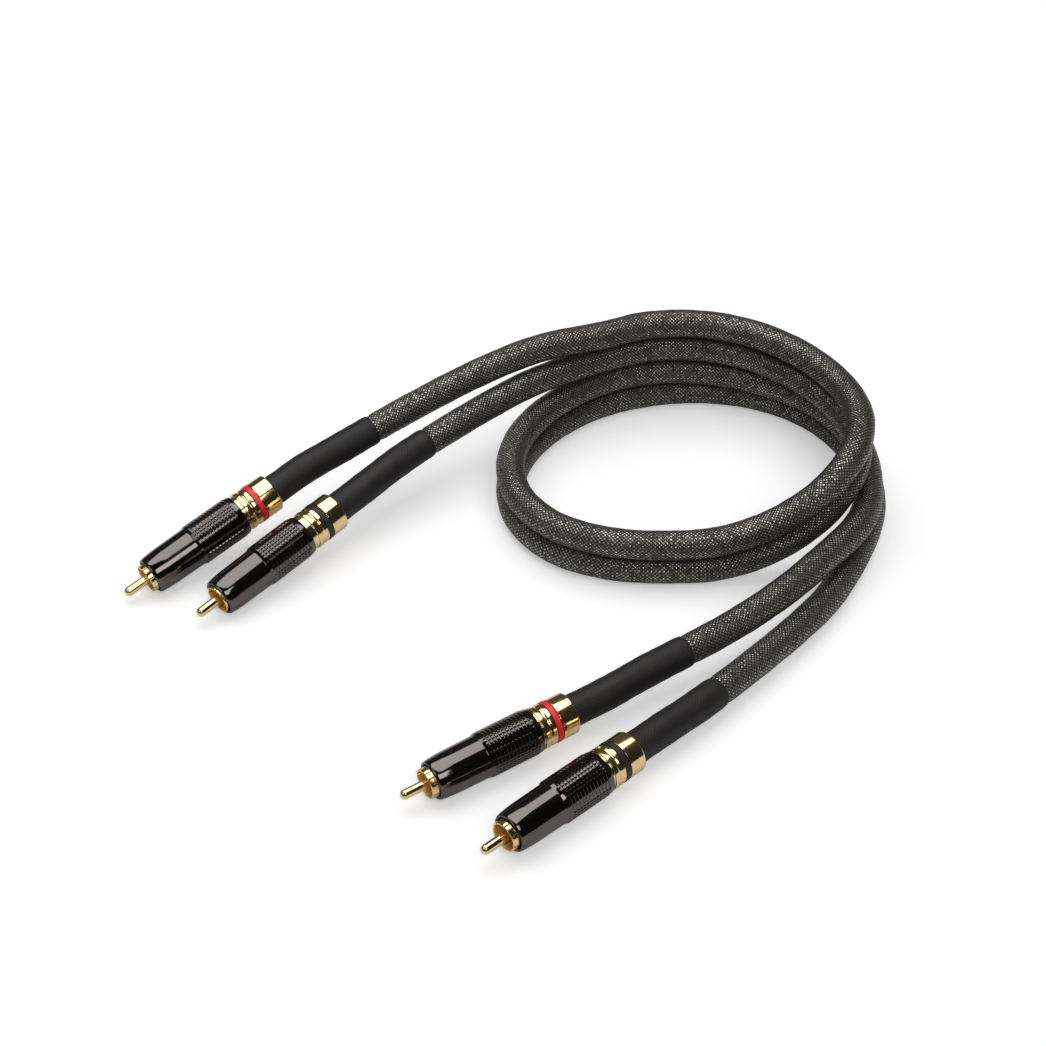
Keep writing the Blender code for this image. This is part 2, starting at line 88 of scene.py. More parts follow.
class Wiring:
    """A node tree that is being wired, with short calls for its nodes."""

    def __init__(self, tree: bpy.types.NodeTree) -> None:
        """Start wiring the tree of a material, a world or a node group."""
        self.tree = tree
        self._column = 0

    def node(self, kind: str, **settings: object) -> bpy.types.Node:
        """Add a node.

        Args:
            kind: The node's type name without its ShaderNode prefix.
            **settings: Properties to set on the node.

        Returns:
            The new node.
        """
        made = self.tree.nodes.new(f"ShaderNode{kind}")
        self._column += 1
        made.location = (180 * (self._column % 9), -220 * (self._column // 9))
        for name, value in settings.items():
            setattr(made, name, value)
        return made

    def feed(self, socket: Socket, value: object) -> None:
        """Link a socket into an input, or set the input where the value is plain.

        Args:
            socket: The input.
            value: A socket, a number or a tuple. A colour has three numbers.
        """
        if isinstance(value, bpy.types.NodeSocket):
            self.tree.links.new(value, socket)
        else:
            socket.default_value = (*value, 1.0) if socket.type == "RGBA" else value

    def fill(self, node: bpy.types.Node, **values: object) -> None:
        """Feed a node's inputs by name, with an underscore for each space."""
        for name, value in values.items():
            self.feed(node.inputs[name.replace("_", " ")], value)

    def math(self, operation: str, *values: object, clamp: bool = False) -> Socket:
        """A Math node.

        Args:
            operation: The operation's name, such as ADD.
            *values: Sockets or numbers for its inputs, in order.
            clamp: Whether the result stays between 0 and 1.

        Returns:
            The node's result.
        """
        made = self.node("Math", operation=operation, use_clamp=clamp)
        for socket, value in zip(made.inputs, values):
            self.feed(socket, value)
        return made.outputs[0]

    def times(self, first: object, second: object, clamp: bool = False) -> Socket:
        """The product of two values."""
        return self.math("MULTIPLY", first, second, clamp=clamp)

    def scaled(self, value: object, factor: object, base: object) -> Socket:
        """A value times a factor, on top of a base."""
        return self.math("MULTIPLY_ADD", value, factor, base)

    def spread(
        self, value: object, low: float, high: float, to_low: float = 0.0, to_high: float = 1.0
    ) -> Socket:
        """Map a value from one range to another, clamped at both ends.

        Args:
            value: The socket to map.
            low: Value that becomes to_low.
            high: Value that becomes to_high.
            to_low: Result at low.
            to_high: Result at high.

        Returns:
            The mapped value.
        """
        made = self.node("MapRange")
        for socket, number in zip(made.inputs, (value, low, high, to_low, to_high)):
            self.feed(socket, number)
        return made.outputs[0]

    def mix(self, share: object, first: object, second: object) -> Socket:
        """Mix two colours.

        Args:
            share: How much of the second colour shows, from 0 to 1.
            first: The first colour.
            second: The second colour.

        Returns:
            The mixed colour.
        """
        made = self.node("Mix", data_type="RGBA")
        for index, value in ((0, share), (6, first), (7, second)):
            self.feed(made.inputs[index], value)
        return made.outputs[2]

    def blend(self, share: Socket, first: bpy.types.Node, second: bpy.types.Node) -> bpy.types.Node:
        """Mix two shaders.

        Args:
            share: How much of the second shader shows, from 0 to 1.
            first: The first shader's node.
            second: The second shader's node.

        Returns:
            The Mix Shader node.
        """
        made = self.node("MixShader")
        for socket, value in zip(made.inputs, (share, first.outputs[0], second.outputs[0])):
            self.feed(socket, value)
        return made

    def separate(self, vector: Socket) -> tuple[Socket, Socket, Socket]:
        """The three parts of a vector."""
        made = self.node("SeparateXYZ")
        self.feed(made.inputs[0], vector)
        return tuple(made.outputs)

    def noise(self, vector: Socket, scale: object, detail: float = 2.0, roughness: float = 0.5) -> Socket:
        """Noise over a vector.

        Args:
            vector: The coordinates.
            scale: Features per unit.
            detail: Octaves.
            roughness: Weight of the finer octaves.

        Returns:
            The noise's value, about 0.5 on average.
        """
        made = self.node("TexNoise")
        self.fill(made, Vector=vector, Scale=scale, Detail=detail, Roughness=roughness)
        return made.outputs["Fac"]

    def bump(self, height: Socket, strength: float, distance: float, under: Socket | None = None) -> Socket:
        """A bump.

        Args:
            height: The height's socket.
            strength: How much of it shows.
            distance: Height in metres that 1 stands for.
            under: Normal of the surface that it lies on.

        Returns:
            The bumped normal.
        """
        made = self.node("Bump")
        self.fill(made, Strength=strength, Distance=distance, Height=height)
        if under is not None:
            self.fill(made, Normal=under)
        return made.outputs["Normal"]

    def finish(self, shader: bpy.types.Node) -> None:
        """Show a shader on the surface."""
        out = next(n for n in self.tree.nodes if n.type == "OUTPUT_MATERIAL")
        self.fill(out, Surface=shader.outputs[0])


def new_material(name: str) -> tuple[bpy.types.Material, Wiring, bpy.types.Node]:
    """Start a material.

    Args:
        name: Its name.

    Returns:
        The material, its wiring and its Principled BSDF.
    """
    material = bpy.data.materials.new(name)
    material.use_nodes = True
    return material, Wiring(material.node_tree), material.node_tree.nodes["Principled BSDF"]


class EffectGroup:
    """Base of the effects that several finishes share, each a node group built once.

    An input without a default is a vector, and all others are numbers, as all the outputs are.
    """

    title = "effect"
    inputs: dict[str, float | None] = {}
    outputs: tuple[str, ...] = ()

    def __init__(self) -> None:
        """Build the node group."""
        self.group = bpy.data.node_groups.new(self.title, "ShaderNodeTree")
        sockets = self.group.interface
        for name, default in self.inputs.items():
            kind = "NodeSocketVector" if default is None else "NodeSocketFloat"
            socket = sockets.new_socket(name, in_out="INPUT", socket_type=kind)
            if default is not None:
                socket.default_value = default
        for name in self.outputs:
            sockets.new_socket(name, in_out="OUTPUT", socket_type="NodeSocketFloat")
        wiring = Wiring(self.group)
        given = self.group.nodes.new("NodeGroupInput").outputs
        result = self.group.nodes.new("NodeGroupOutput")
        result.location = (1800, 0)
        wiring.fill(result, **self.wire(wiring, given))

    def wire(self, w: Wiring, given: bpy.types.NodeOutputs) -> dict[str, Socket]:
        """Wire the effect. Each effect does this its own way.

        Args:
            w: The group's wiring.
            given: The group's inputs.

        Returns:
            What each output of the group shows.
        """
        raise NotImplementedError

    def place(self, wiring: Wiring, **values: object) -> bpy.types.NodeOutputs:
        """Put the effect into a material.

        Args:
            wiring: The material's wiring.
            **values: Values or sockets for the group's inputs, with an underscore for each space.

        Returns:
            The outputs of the group's node, which are the effect.
        """
        made = wiring.node("Group", node_tree=self.group)
        wiring.fill(made, **values)
        return made.outputs


class Handling(EffectGroup):
    """Traces of handling: a faint uneven smear, small specks of dust and fine scratches."""

    title = "handling"
    inputs = {"Vector": None, "Smear Scale": 160.0, "Speck Amount": 0.5}
    outputs = ("Smear", "Speck", "Scratch")
    speck_share = 0.10
    speck_radius = 0.16

    def wire(self, w: Wiring, given: bpy.types.NodeOutputs) -> dict[str, Socket]:
        """Wire the smear, the specks and the scratches.

        Args:
            w: The group's wiring.
            given: The group's inputs.

        Returns:
            What each output of the group shows.
        """
        smear = w.noise(given["Vector"], given["Smear Scale"], 3.0, 0.6)
        cells = w.node("TexVoronoi", feature="F1")
        w.fill(cells, Vector=given["Vector"], Scale=900.0)
        tone = w.node("SeparateColor")
        w.feed(tone.inputs[0], cells.outputs["Color"])
        chosen = w.math("LESS_THAN", tone.outputs[0], w.times(given["Speck Amount"], self.speck_share))
        dot = w.math("LESS_THAN", cells.outputs["Distance"], self.speck_radius)
        stretched = w.node("Mapping")
        w.fill(stretched, Vector=given["Vector"], Rotation=(0.4, 0.7, 0.3), Scale=(4200.0, 160.0, 900.0))
        lines = w.noise(stretched.outputs[0], 1.0, 1.0)
        return {
            "Smear": w.spread(smear, 0.32, 0.68),
            "Speck": w.times(chosen, dot),
            "Scratch": w.spread(lines, 0.66, 0.74),
        }


class TurningMarks(EffectGroup):
    """Fine rings that a lathe tool leaves round a turned piece, from its own unrolled map."""

    title = "turning_marks"
    inputs = {"Unrolled": None, "Rings per cm": 60.0}
    outputs = ("Height", "Tone")

    def wire(self, w: Wiring, given: bpy.types.NodeOutputs) -> dict[str, Socket]:
        """Wire the rings, as noise that changes quickly along the axis and slowly round it.

        Args:
            w: The group's wiring.
            given: The group's inputs.

        Returns:
            What each output of the group shows.
        """
        round_, along, _ = w.separate(given["Unrolled"])
        place = w.node("CombineXYZ")
        w.fill(place, X=w.times(round_, 0.6), Y=w.times(along, given["Rings per cm"]))
        height = w.noise(place.outputs[0], 1.0, 2.0, 0.7)
        return {"Height": height, "Tone": w.spread(height, 0.35, 0.65)}


class BraidWeave(EffectGroup):
    """A tubular braid on an unrolled map: round the lead in turns, along it in metres.

    Two families of strands cross at an angle, and each passes over one of the other family and
    under the next. Height is the relief, Gap the holes between the strands, which the braid paints
    near black as partly painted shade, Family tells which strand is on top, Tone is a random value
    for each crossing and Crown a soft spot on top of each crossing, which the braid fills with a
    painted glint.
    """

    title = "braid_weave"
    inputs = {"Unrolled": None, "Carriers": 24.0, "Crossings per metre": 740.0}
    outputs = ("Height", "Gap", "Family", "Tone", "Crown")

    def wire(self, w: Wiring, given: bpy.types.NodeOutputs) -> dict[str, Socket]:
        """Wire both strand families, the crossings and the tone of single crossings.

        Args:
            w: The group's wiring.
            given: The group's inputs.

        Returns:
            What each output of the group shows.
        """
        round_, along, _ = w.separate(given["Unrolled"])
        round_ = w.times(round_, given["Carriers"])
        along = w.times(along, given["Crossings per metre"])
        first, second = (w.math(operation, round_, along) for operation in ("ADD", "SUBTRACT"))
        first_id, second_id = (w.math("FLOOR", strand) for strand in (first, second))
        first_in, second_in = (w.scaled(w.math("FRACT", strand), 2.0, -1.0) for strand in (first, second))
        odd = w.math("FLOORED_MODULO", w.math("ADD", first_id, second_id), 2.0)
        across = w.scaled(odd, w.math("SUBTRACT", second_in, first_in), first_in)
        lengthwise = w.scaled(odd, w.math("SUBTRACT", first_in, second_in), second_in)
        across, lengthwise = w.times(across, across), w.times(lengthwise, lengthwise)
        relief = w.math("SUBTRACT", 1.0, w.times(across, 0.80))
        relief = w.math("SUBTRACT", relief, w.times(lengthwise, 0.55))
        height = w.math("MAXIMUM", relief, 0.0)
        ids = w.node("CombineXYZ")
        w.fill(ids, X=w.math("FLOORED_MODULO", first_id, given["Carriers"]), Y=second_id)
        cell = w.node("TexWhiteNoise", noise_dimensions="2D")
        w.fill(cell, Vector=ids.outputs[0])
        spot = w.math("ADD", w.times(across, 1.9), w.times(lengthwise, 1.1))
        return {
            "Height": height,
            "Gap": w.spread(height, 0.22, 0.58, 1.0, 0.0),
            "Family": odd,
            "Tone": cell.outputs["Value"],
            "Crown": w.math("SUBTRACT", 1.0, spot, clamp=True),
        }


class Effects:
    """The shared effects, each built once."""

    def __init__(self) -> None:
        """Build the node groups."""
        self.handling, self.turning, self.weave = Handling(), TurningMarks(), BraidWeave()


# ------------------------------------------------------------------------------------------------
# Finishes
# ------------------------------------------------------------------------------------------------


@dataclass(frozen=True)
class Surface:
    """Base of the finishes: a name and a way to make the material."""

    name: str

    def start(
        self, effects: Effects, smear_scale: float, specks: float
    ) -> tuple[bpy.types.Material, Wiring, bpy.types.Node, bpy.types.NodeOutputs, bpy.types.NodeOutputs]:
        """Make an empty material, with the traces of handling that each finish has.

        Args:
            effects: The shared effects.
            smear_scale: How fine the smear is.
            specks: How much dust there is.

        Returns:
            The material, its wiring, its Principled BSDF, its coordinates and its traces.
        """
        material, w, shader = new_material(self.name)
        coords = w.node("TexCoord").outputs
        traces = effects.handling.place(
            w, Vector=coords["Object"], Smear_Scale=smear_scale, Speck_Amount=specks
        )
        return material, w, shader, coords, traces

    def make(self, effects: Effects) -> bpy.types.Material:
        """Make the material. Each finish does this its own way."""
        raise NotImplementedError


@dataclass(frozen=True)
class PolishedMetal(Surface):
    """Plated and polished metal with faint turning rings, smears and dust, and a painted warm glow of
    reflected light inside bores.
    """

    colour: Colour = (0.96, 0.75, 0.40)
    shade: Colour = (0.91, 0.67, 0.31)
    # Painted reflected light: a warmer, brighter orange for faces inside a bore, standing in for light
    # bounced round inside the ring.
    inner: Colour = (1.0, 0.66, 0.22)
    dust: Colour = (0.55, 0.53, 0.50)
    roughness: float = 0.09
    rings: float = 0.03
    rings_per_cm: float = 70.0

    def make(self, effects: Effects) -> bpy.types.Material:
        """Make the metal's material.

        Args:
            effects: The shared effects.

        Returns:
            The material.
        """
        material, w, shader, coords, traces = self.start(effects, 180.0, 0.10)
        turned = effects.turning.place(w, Unrolled=coords["UV"], Rings_per_cm=self.rings_per_cm)
        inside = w.node("Attribute", attribute_name="bored").outputs["Fac"]
        speck = w.times(traces["Speck"], 0.5)
        plating = w.mix(w.times(traces["Smear"], 0.5), self.colour, self.shade)
        rough = w.scaled(turned["Tone"], 0.03, w.scaled(traces["Smear"], 0.05, self.roughness))
        rings = w.bump(turned["Height"], self.rings, 0.00002)
        w.fill(
            shader,
            # Inside a bore the colour turns to the painted orange of reflected light, and the metal turns
            # partly diffuse so that it catches more light.
            Base_Color=w.mix(inside, w.mix(speck, plating, self.dust), self.inner),
            Roughness=w.scaled(traces["Speck"], 0.4, w.scaled(inside, 0.36, rough)),
            Metallic=w.math("SUBTRACT", 1.0, w.scaled(inside, 0.45, speck)),
            Normal=w.bump(traces["Scratch"], 0.02, -0.00001, rings),
        )
        return material


@dataclass(frozen=True)
class Moulded(Surface):
    """Moulded or painted plastic with a fine grain."""

    colour: Colour = (0.85, 0.84, 0.80)
    shade: Colour = (0.78, 0.76, 0.70)
    dust: Colour = (0.40, 0.38, 0.35)
    roughness: float = 0.42
    grain: float = 0.25

    def make(self, effects: Effects) -> bpy.types.Material:
        """Make the plastic's material.

        Args:
            effects: The shared effects.

        Returns:
            The material.
        """
        material, w, shader, coords, traces = self.start(effects, 260.0, 0.6)
        colour = w.mix(traces["Smear"], self.colour, self.shade)
        w.fill(
            shader,
            Base_Color=w.mix(w.times(traces["Speck"], 0.4), colour, self.dust),
            Roughness=w.scaled(traces["Smear"], 0.10, self.roughness),
            Normal=w.bump(w.noise(coords["Object"], 5200.0), self.grain, 0.00003),
        )
        return material


@dataclass(frozen=True)
class HeatShrink(Surface):
    """Matte heat-shrink film, with the braid under it showing through as a faint relief."""

    colour: Colour = (0.0150, 0.0135, 0.0130)
    rubbed: Colour = (0.034, 0.030, 0.029)
    dust: Colour = (0.12, 0.115, 0.11)

    def make(self, effects: Effects) -> bpy.types.Material:
        """Make the film's material.

        Args:
            effects: The shared effects.

        Returns:
            The material.
        """
        material, w, shader, coords, traces = self.start(effects, 110.0, 0.25)
        weave = effects.weave.place(w, Unrolled=coords["UV"])
        raised = w.spread(weave["Height"], 0.35, 0.95)
        colour = w.mix(w.times(raised, w.scaled(traces["Smear"], 0.45, 0.30)), self.colour, self.rubbed)
        film = w.noise(coords["Object"], 700.0, 4.0, 0.6)
        under = w.bump(weave["Height"], 0.22, 0.00006)
        w.fill(
            shader,
            Base_Color=w.mix(w.times(traces["Speck"], 0.35), colour, self.dust),
            Roughness=w.scaled(traces["Smear"], 0.14, 0.46),
            Specular_IOR_Level=0.32,
            Normal=w.bump(film, 0.30, 0.00012, under),
        )
        return material


@dataclass(frozen=True)
class Braid(Surface):
    """Glossy monofilament braid over a dark inner cord. A painted glint, a pale metallic colour, lies on top
    of each crossing, and painted shade darkens the holes between the strands.
    """

    dark: Colour = (0.010, 0.0092, 0.0084)
    pale: Colour = (0.026, 0.024, 0.021)
    # Painted glint: the pale colour on top of each crossing. It is partly real, as the reflectance of the
    # metallic strand tops.
    crown_glint: Colour = (0.90, 0.85, 0.74)
    # Near black for the holes between strands: partly the dark inner cord, partly painted shade.
    core_and_gap_shade: Colour = (0.0008, 0.0008, 0.0008)

    def make(self, effects: Effects) -> bpy.types.Material:
        """Make the braid's material.

        Args:
            effects: The shared effects.

        Returns:
            The material.
        """
        material, w, shader, coords, traces = self.start(effects, 60.0, 0.2)
        weave = effects.weave.place(w, Unrolled=coords["UV"])
        strand = w.mix(weave["Family"], self.dark, self.pale)
        # Painted glint: which crossings glint, how brightly in patches, and more strongly on one strand
        # family.
        lucky = w.math("POWER", w.spread(weave["Tone"], 0.0, 1.0, 0.16), 1.3)
        patchy = w.scaled(traces["Smear"], 0.3, 0.55)
        share = w.times(w.times(weave["Crown"], lucky), patchy)
        share = w.times(share, w.scaled(weave["Family"], 0.60, 1.00), clamp=True)
        strand = w.mix(share, strand, self.crown_glint)
        sheen = w.scaled(weave["Gap"], 0.40, 0.19)
        lumpy = w.bump(w.noise(coords["Object"], 2600.0), 0.12, 0.00003)
        w.fill(
            shader,
            # The holes show the near-black colour, partly the dark inner cord and partly painted shade.
            Base_Color=w.mix(weave["Gap"], strand, self.core_and_gap_shade),
            Metallic=w.times(share, 2.2, clamp=True),
            Roughness=w.scaled(traces["Smear"], 0.10, sheen),
            Specular_IOR_Level=0.50,
            Normal=w.bump(weave["Height"], 0.9, 0.00022, lumpy),
        )
        return material


@dataclass(frozen=True)
class Strand(Surface):
    """Bare twisted copper, or a brushed steel ring, on the solids that are kept as they are."""

    colour: Colour = (0.72, 0.36, 0.21)
    shade: Colour = (0.50, 0.22, 0.12)
    lines: float = 3400.0 / 6.0

    def make(self, effects: Effects) -> bpy.types.Material:
        """Make the bare metal's material.

        Args:
            effects: The shared effects.

        Returns:
            The material.
        """
        material, w, shader, coords, traces = self.start(effects, 420.0, 0.2)
        bands = w.node("TexWave", wave_type="BANDS", bands_direction="DIAGONAL")
        w.fill(bands, Vector=coords["Object"], Scale=self.lines, Distortion=1.5)
        lines = bands.outputs["Fac"]
        w.fill(
            shader,
            Base_Color=w.mix(w.scaled(lines, 0.5, w.times(traces["Smear"], 0.4)), self.colour, self.shade),
            Roughness=w.scaled(traces["Smear"], 0.15, 0.28),
            Metallic=1.0,
            Normal=w.bump(lines, 0.4, 0.00005),
        )
        return material


class FinishShop:
    """Makes each finish's material once and hands it out."""

    surfaces: dict[Finish, Surface] = {
        Finish.GOLD: PolishedMetal("polished_gold_plate"),
        Finish.BLACK_CHROME: PolishedMetal(
            "black_chrome_plate", colour=(0.138, 0.124, 0.116), shade=(0.120, 0.107, 0.101),
            roughness=0.05, rings=0.012, rings_per_cm=90.0,
        ),
        Finish.INSULATOR: Moulded("white_insulator"),
        Finish.SLEEVE: HeatShrink("black_heat_shrink"),
        Finish.BRAID: Braid("charcoal_braid"),
        Finish.RED_BAND: Moulded(
            "red_band", colour=(1.0, 0.018, 0.024), shade=(0.93, 0.012, 0.018), roughness=0.34, grain=0.10
        ),
        Finish.BLACK_BAND: Moulded(
            "black_band", colour=(0.014, 0.014, 0.015), shade=(0.022, 0.022, 0.023),
            roughness=0.46, grain=0.20,
        ),
        Finish.CLAMP: Strand(
            "brushed_clamp", colour=(0.60, 0.59, 0.57), shade=(0.42, 0.41, 0.40), lines=5200.0 / 6.0
        ),
        Finish.WIRE: Strand("copper_strand"),
    }

    def __init__(self, effects: Effects) -> None:
        """Make all the materials from the shared effects."""
        self.materials = {finish: surface.make(effects) for finish, surface in self.surfaces.items()}

    def dress(self, piece: bpy.types.Object, finish: Finish) -> None:
        """Give a new piece its finish.

        Args:
            piece: The piece.
            finish: Its finish.
        """
        piece.data.materials.clear()
        piece.data.materials.append(self.materials[finish])

    def redress(self, node: str, finish: Finish) -> None:
        """Give a kept solid its finish."""
        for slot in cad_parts[node].material_slots:
            slot.material = self.materials[finish]


# ------------------------------------------------------------------------------------------------
# Turning and placing
# ------------------------------------------------------------------------------------------------


class Workbench:
    """The modelling steps that every turned piece goes through."""

    merge_distance = 0.000002

    @staticmethod
    def clear_selection() -> None:
        """Leave edit mode and deselect everything."""
        if bpy.context.object is not None and bpy.context.object.mode != "OBJECT":
            bpy.ops.object.mode_set(mode="OBJECT")
        bpy.ops.object.select_all(action="DESELECT")

    @classmethod
    def turn(cls, name: str, outline: Outline, sides: int, closed: bool) -> bpy.types.Object:
        """Turn an outline about +Z, one extruded ring after another.

        Args:
            name: The piece's name.
            outline: Pairs of radius and height, outer side first.
            sides: Vertices in each ring.
            closed: Whether the outline runs round a wall and meets its own start. An open outline
                is capped at both ends.

        Returns:
            The turned piece, in its own frame.
        """
        cls.clear_selection()
        radius, height = outline[0]
        bpy.ops.mesh.primitive_circle_add(
            vertices=sides, radius=radius, fill_type="NOTHING", location=(0.0, 0.0, height)
        )
        piece = bpy.context.object
        bpy.ops.object.transform_apply(location=True, rotation=True, scale=True)
        bpy.ops.object.mode_set(mode="EDIT")
        bpy.ops.mesh.select_mode(type="VERT")
        bpy.ops.mesh.select_all(action="SELECT")
        if not closed:
            bpy.ops.mesh.edge_face_add()
        path = outline + [outline[0]] if closed else outline
        for (radius, height), (next_radius, next_height) in zip(path, path[1:]):
            bpy.ops.mesh.extrude_region_move(
                TRANSFORM_OT_translate={"value": (0.0, 0.0, next_height - height)}
            )
            share = next_radius / radius
            bpy.ops.transform.resize(value=(share, share, 1.0), center_override=(0.0, 0.0, 0.0))
        bpy.ops.mesh.select_all(action="SELECT")
        bpy.ops.mesh.remove_doubles(threshold=cls.merge_distance)
        bpy.ops.mesh.normals_make_consistent(inside=False)
        bpy.ops.object.mode_set(mode="OBJECT")
        piece.name = name
        piece.data.name = name
        return piece

    @staticmethod
    def apply_modifier(piece: bpy.types.Object, kind: str, **settings: object) -> None:
        """Add a modifier to a piece and apply it.

        Args:
            piece: The piece.
            kind: The modifier's type.
            **settings: Its properties.
        """
        bpy.context.view_layer.objects.active = piece
        modifier = piece.modifiers.new(kind.lower(), kind)
        for name, value in settings.items():
            setattr(modifier, name, value)
        bpy.ops.object.modifier_apply(modifier=modifier.name)

    @classmethod
    def soften(cls, piece: bpy.types.Object, width: float, segments: int = 2, angle: float = 35.0) -> None:
        """Round a piece's sharp edges.

        Args:
            piece: The piece.
            width: Width of the rounding.
            segments: Faces across it.
            angle: Edges that turn by more degrees than this are rounded.
        """
        cls.apply_modifier(
            piece, "BEVEL", width=width, segments=segments, limit_method="ANGLE",
            angle_limit=math.radians(angle), use_clamp_overlap=True,
        )

    @classmethod
    def cut_slots(
        cls, piece: bpy.types.Object, count: int, width: float, start: float, end: float, reach: float
    ) -> None:
        """Saw slots through a ring, each pair across the axis with one cut.

        Args:
            piece: The ring.
            count: Slots round it.
            width: Width of a slot.
            start: Station at which they begin.
            end: Station at which they end.
            reach: Radius that the saw reaches.
        """
        for k in range(count // 2):
            cls.clear_selection()
            bpy.ops.mesh.primitive_cube_add(size=1.0, location=(0.0, 0.0, 0.5 * (start + end)))
            saw = bpy.context.object
            saw.scale = (2.0 * reach, width, end - start)
            saw.rotation_euler = (0.0, 0.0, math.pi * (k + 0.25) / (count // 2))
            bpy.ops.object.transform_apply(location=True, rotation=True, scale=True)
            cls.apply_modifier(piece, "BOOLEAN", operation="DIFFERENCE", solver="EXACT", object=saw)
            bpy.data.objects.remove(saw, do_unlink=True)

    @staticmethod
    def mark_bore(piece: bpy.types.Object, radius: float, start: float, end: float) -> None:
        """Mark the inner side of a tube, which is less polished than its outside and which the gold material
        paints a warmer orange as painted reflected light.

        Args:
            piece: The tube.
            radius: Faces that lie within this radius are inside.
            start: Station at which the marked stretch begins.
            end: Station at which it ends.
        """
        layer = piece.data.attributes.new("bored", "FLOAT", "FACE")
        for face in piece.data.polygons:
            inside = face.center.xy.length < radius and start < face.center.z < end
            layer.data[face.index].value = 1.0 if inside else 0.0

    @staticmethod
    def unroll(piece: bpy.types.Object) -> None:
        """Give a turned piece a map of its own: turns round the axis, and centimetres along it."""
        mesh = piece.data
        layer = mesh.uv_layers.active or mesh.uv_layers.new(name="unrolled")
        for face in mesh.polygons:
            turns = []
            for index in face.loop_indices:
                place = mesh.vertices[mesh.loops[index].vertex_index].co
                turns.append(math.atan2(place.y, place.x) / (2.0 * math.pi))
            wraps = max(turns) - min(turns) > 0.5
            for index, turn in zip(face.loop_indices, turns):
                place = mesh.vertices[mesh.loops[index].vertex_index].co
                shown = turn + 1.0 if wraps and turn < 0.0 else turn
                layer.data[index].uv = (shown, place.z * 100.0)

    @classmethod
    def smooth(cls, piece: bpy.types.Object, angle: float = 32.0) -> None:
        """Shade a piece smooth, with creases where its faces turn by more than the angle."""
        cls.clear_selection()
        piece.select_set(True)
        bpy.context.view_layer.objects.active = piece
        bpy.ops.object.shade_smooth_by_angle(angle=math.radians(angle))
        cls.apply_modifier(piece, "WEIGHTED_NORMAL", mode="FACE_AREA", weight=50, keep_sharp=True)


# ------------------------------------------------------------------------------------------------
# The plug
# ------------------------------------------------------------------------------------------------


@dataclass
class CenterPin:
    """The signal pin: a round rod with a domed tip."""

    radius: float = 0.0016
    length: float = 0.0270
    dome: float = 0.0015
    node: str = "center_pin"
    finish: Finish = Finish.GOLD

    def build(self) -> bpy.types.Object:
        """Turn the pin, with a shallow neck where the wire is soldered in.

        Returns:
            The pin in the plug's frame.
        """
        outline: Outline = []
        for k in range(1, 10):
            turn = 0.5 * math.pi * k / 9
            outline.append((self.radius * math.sin(turn), self.dome * (1.0 - math.cos(turn))))
        neck = self.length - 0.0016
        outline += [
            (self.radius, neck - 0.0004),
            (0.86 * self.radius, neck),
            (0.86 * self.radius, self.length - 0.0003),
            (0.70 * self.radius, self.length),
        ]
        pin = Workbench.turn("pin_master", outline, 40, closed=False)
        Workbench.soften(pin, 0.00006, angle=38.0)
        return pin


@dataclass
class Insulator:
    """The white bush that holds the pin in the middle of the ring."""

    bore: float = 0.0019
    radius: float = 0.00385
    start: float = 0.0170
    length: float = 0.0085
    node: str = "insulator"
    finish: Finish = Finish.INSULATOR

    def build(self) -> bpy.types.Object:
        """Turn the bush, with a raised boss round the pin on its front face.

        Returns:
            The bush in the plug's frame.
        """
        end = self.start + self.length
        outline = [
            (self.radius, self.start + 0.0005),
            (self.radius, end),
            (self.bore, end),
            (self.bore, self.start),
            (self.bore + 0.0007, self.start),
            (self.bore + 0.0008, self.start + 0.0005),
        ]
        bush = Workbench.turn("insulator_master", outline, 48, closed=True)
        Workbench.soften(bush, 0.00010)
        return bush


@dataclass
class ContactBody:
    """The slotted ground ring and the tube behind it, in one piece."""

    bore: float = 0.00415
    ring_radius: float = 0.00493
    swell: float = 0.00022
    start: float = 0.0085
    shoulder: float = 0.0226
    body_bore: float = 0.0052
    body_radius: float = 0.0062
    end: float = 0.0457
    seat_end: float = 0.0258
    slots: int = 8
    slot_width: float = 0.00035
    node: str = "contact_body"
    finish: Finish = Finish.GOLD

    def build(self) -> bpy.types.Object:
        """Turn the ring and its tube, saw the slots and round the rim.

        Returns:
            The body in the plug's frame.
        """
        swollen = self.ring_radius + self.swell
        outline = [
            (self.ring_radius - 0.00016, self.start),
            (self.ring_radius, self.start + 0.0002),
            (self.ring_radius + 0.00004, self.start + 0.0012),
            (swollen, self.start + 0.0035),
            (swollen, self.shoulder),
            (self.body_radius, self.shoulder),
            (self.body_radius, self.end - 0.0030),
            (self.body_radius - 0.0002, self.end - 0.0027),
            (self.body_radius - 0.0002, self.end - 0.0022),
            (self.body_radius, self.end - 0.0019),
            (self.body_radius, self.end),
            (self.body_bore, self.end),
            (self.body_bore, self.seat_end),
            (self.bore, self.seat_end),
            (self.bore, self.start + 0.0012),
            (self.bore + 0.00012, self.start + 0.0003),
            (self.bore + 0.00022, self.start),
        ]
        body = Workbench.turn("contact_master", outline, 96, closed=True)
        slot_end = self.shoulder - 0.0020
        Workbench.cut_slots(
            body, self.slots, self.slot_width, self.start - 0.004, slot_end, 2.0 * self.body_radius
        )
        Workbench.soften(body, 0.00007, angle=40.0)
        Workbench.mark_bore(body, self.bore + 0.0002, self.start, self.shoulder)
        return body


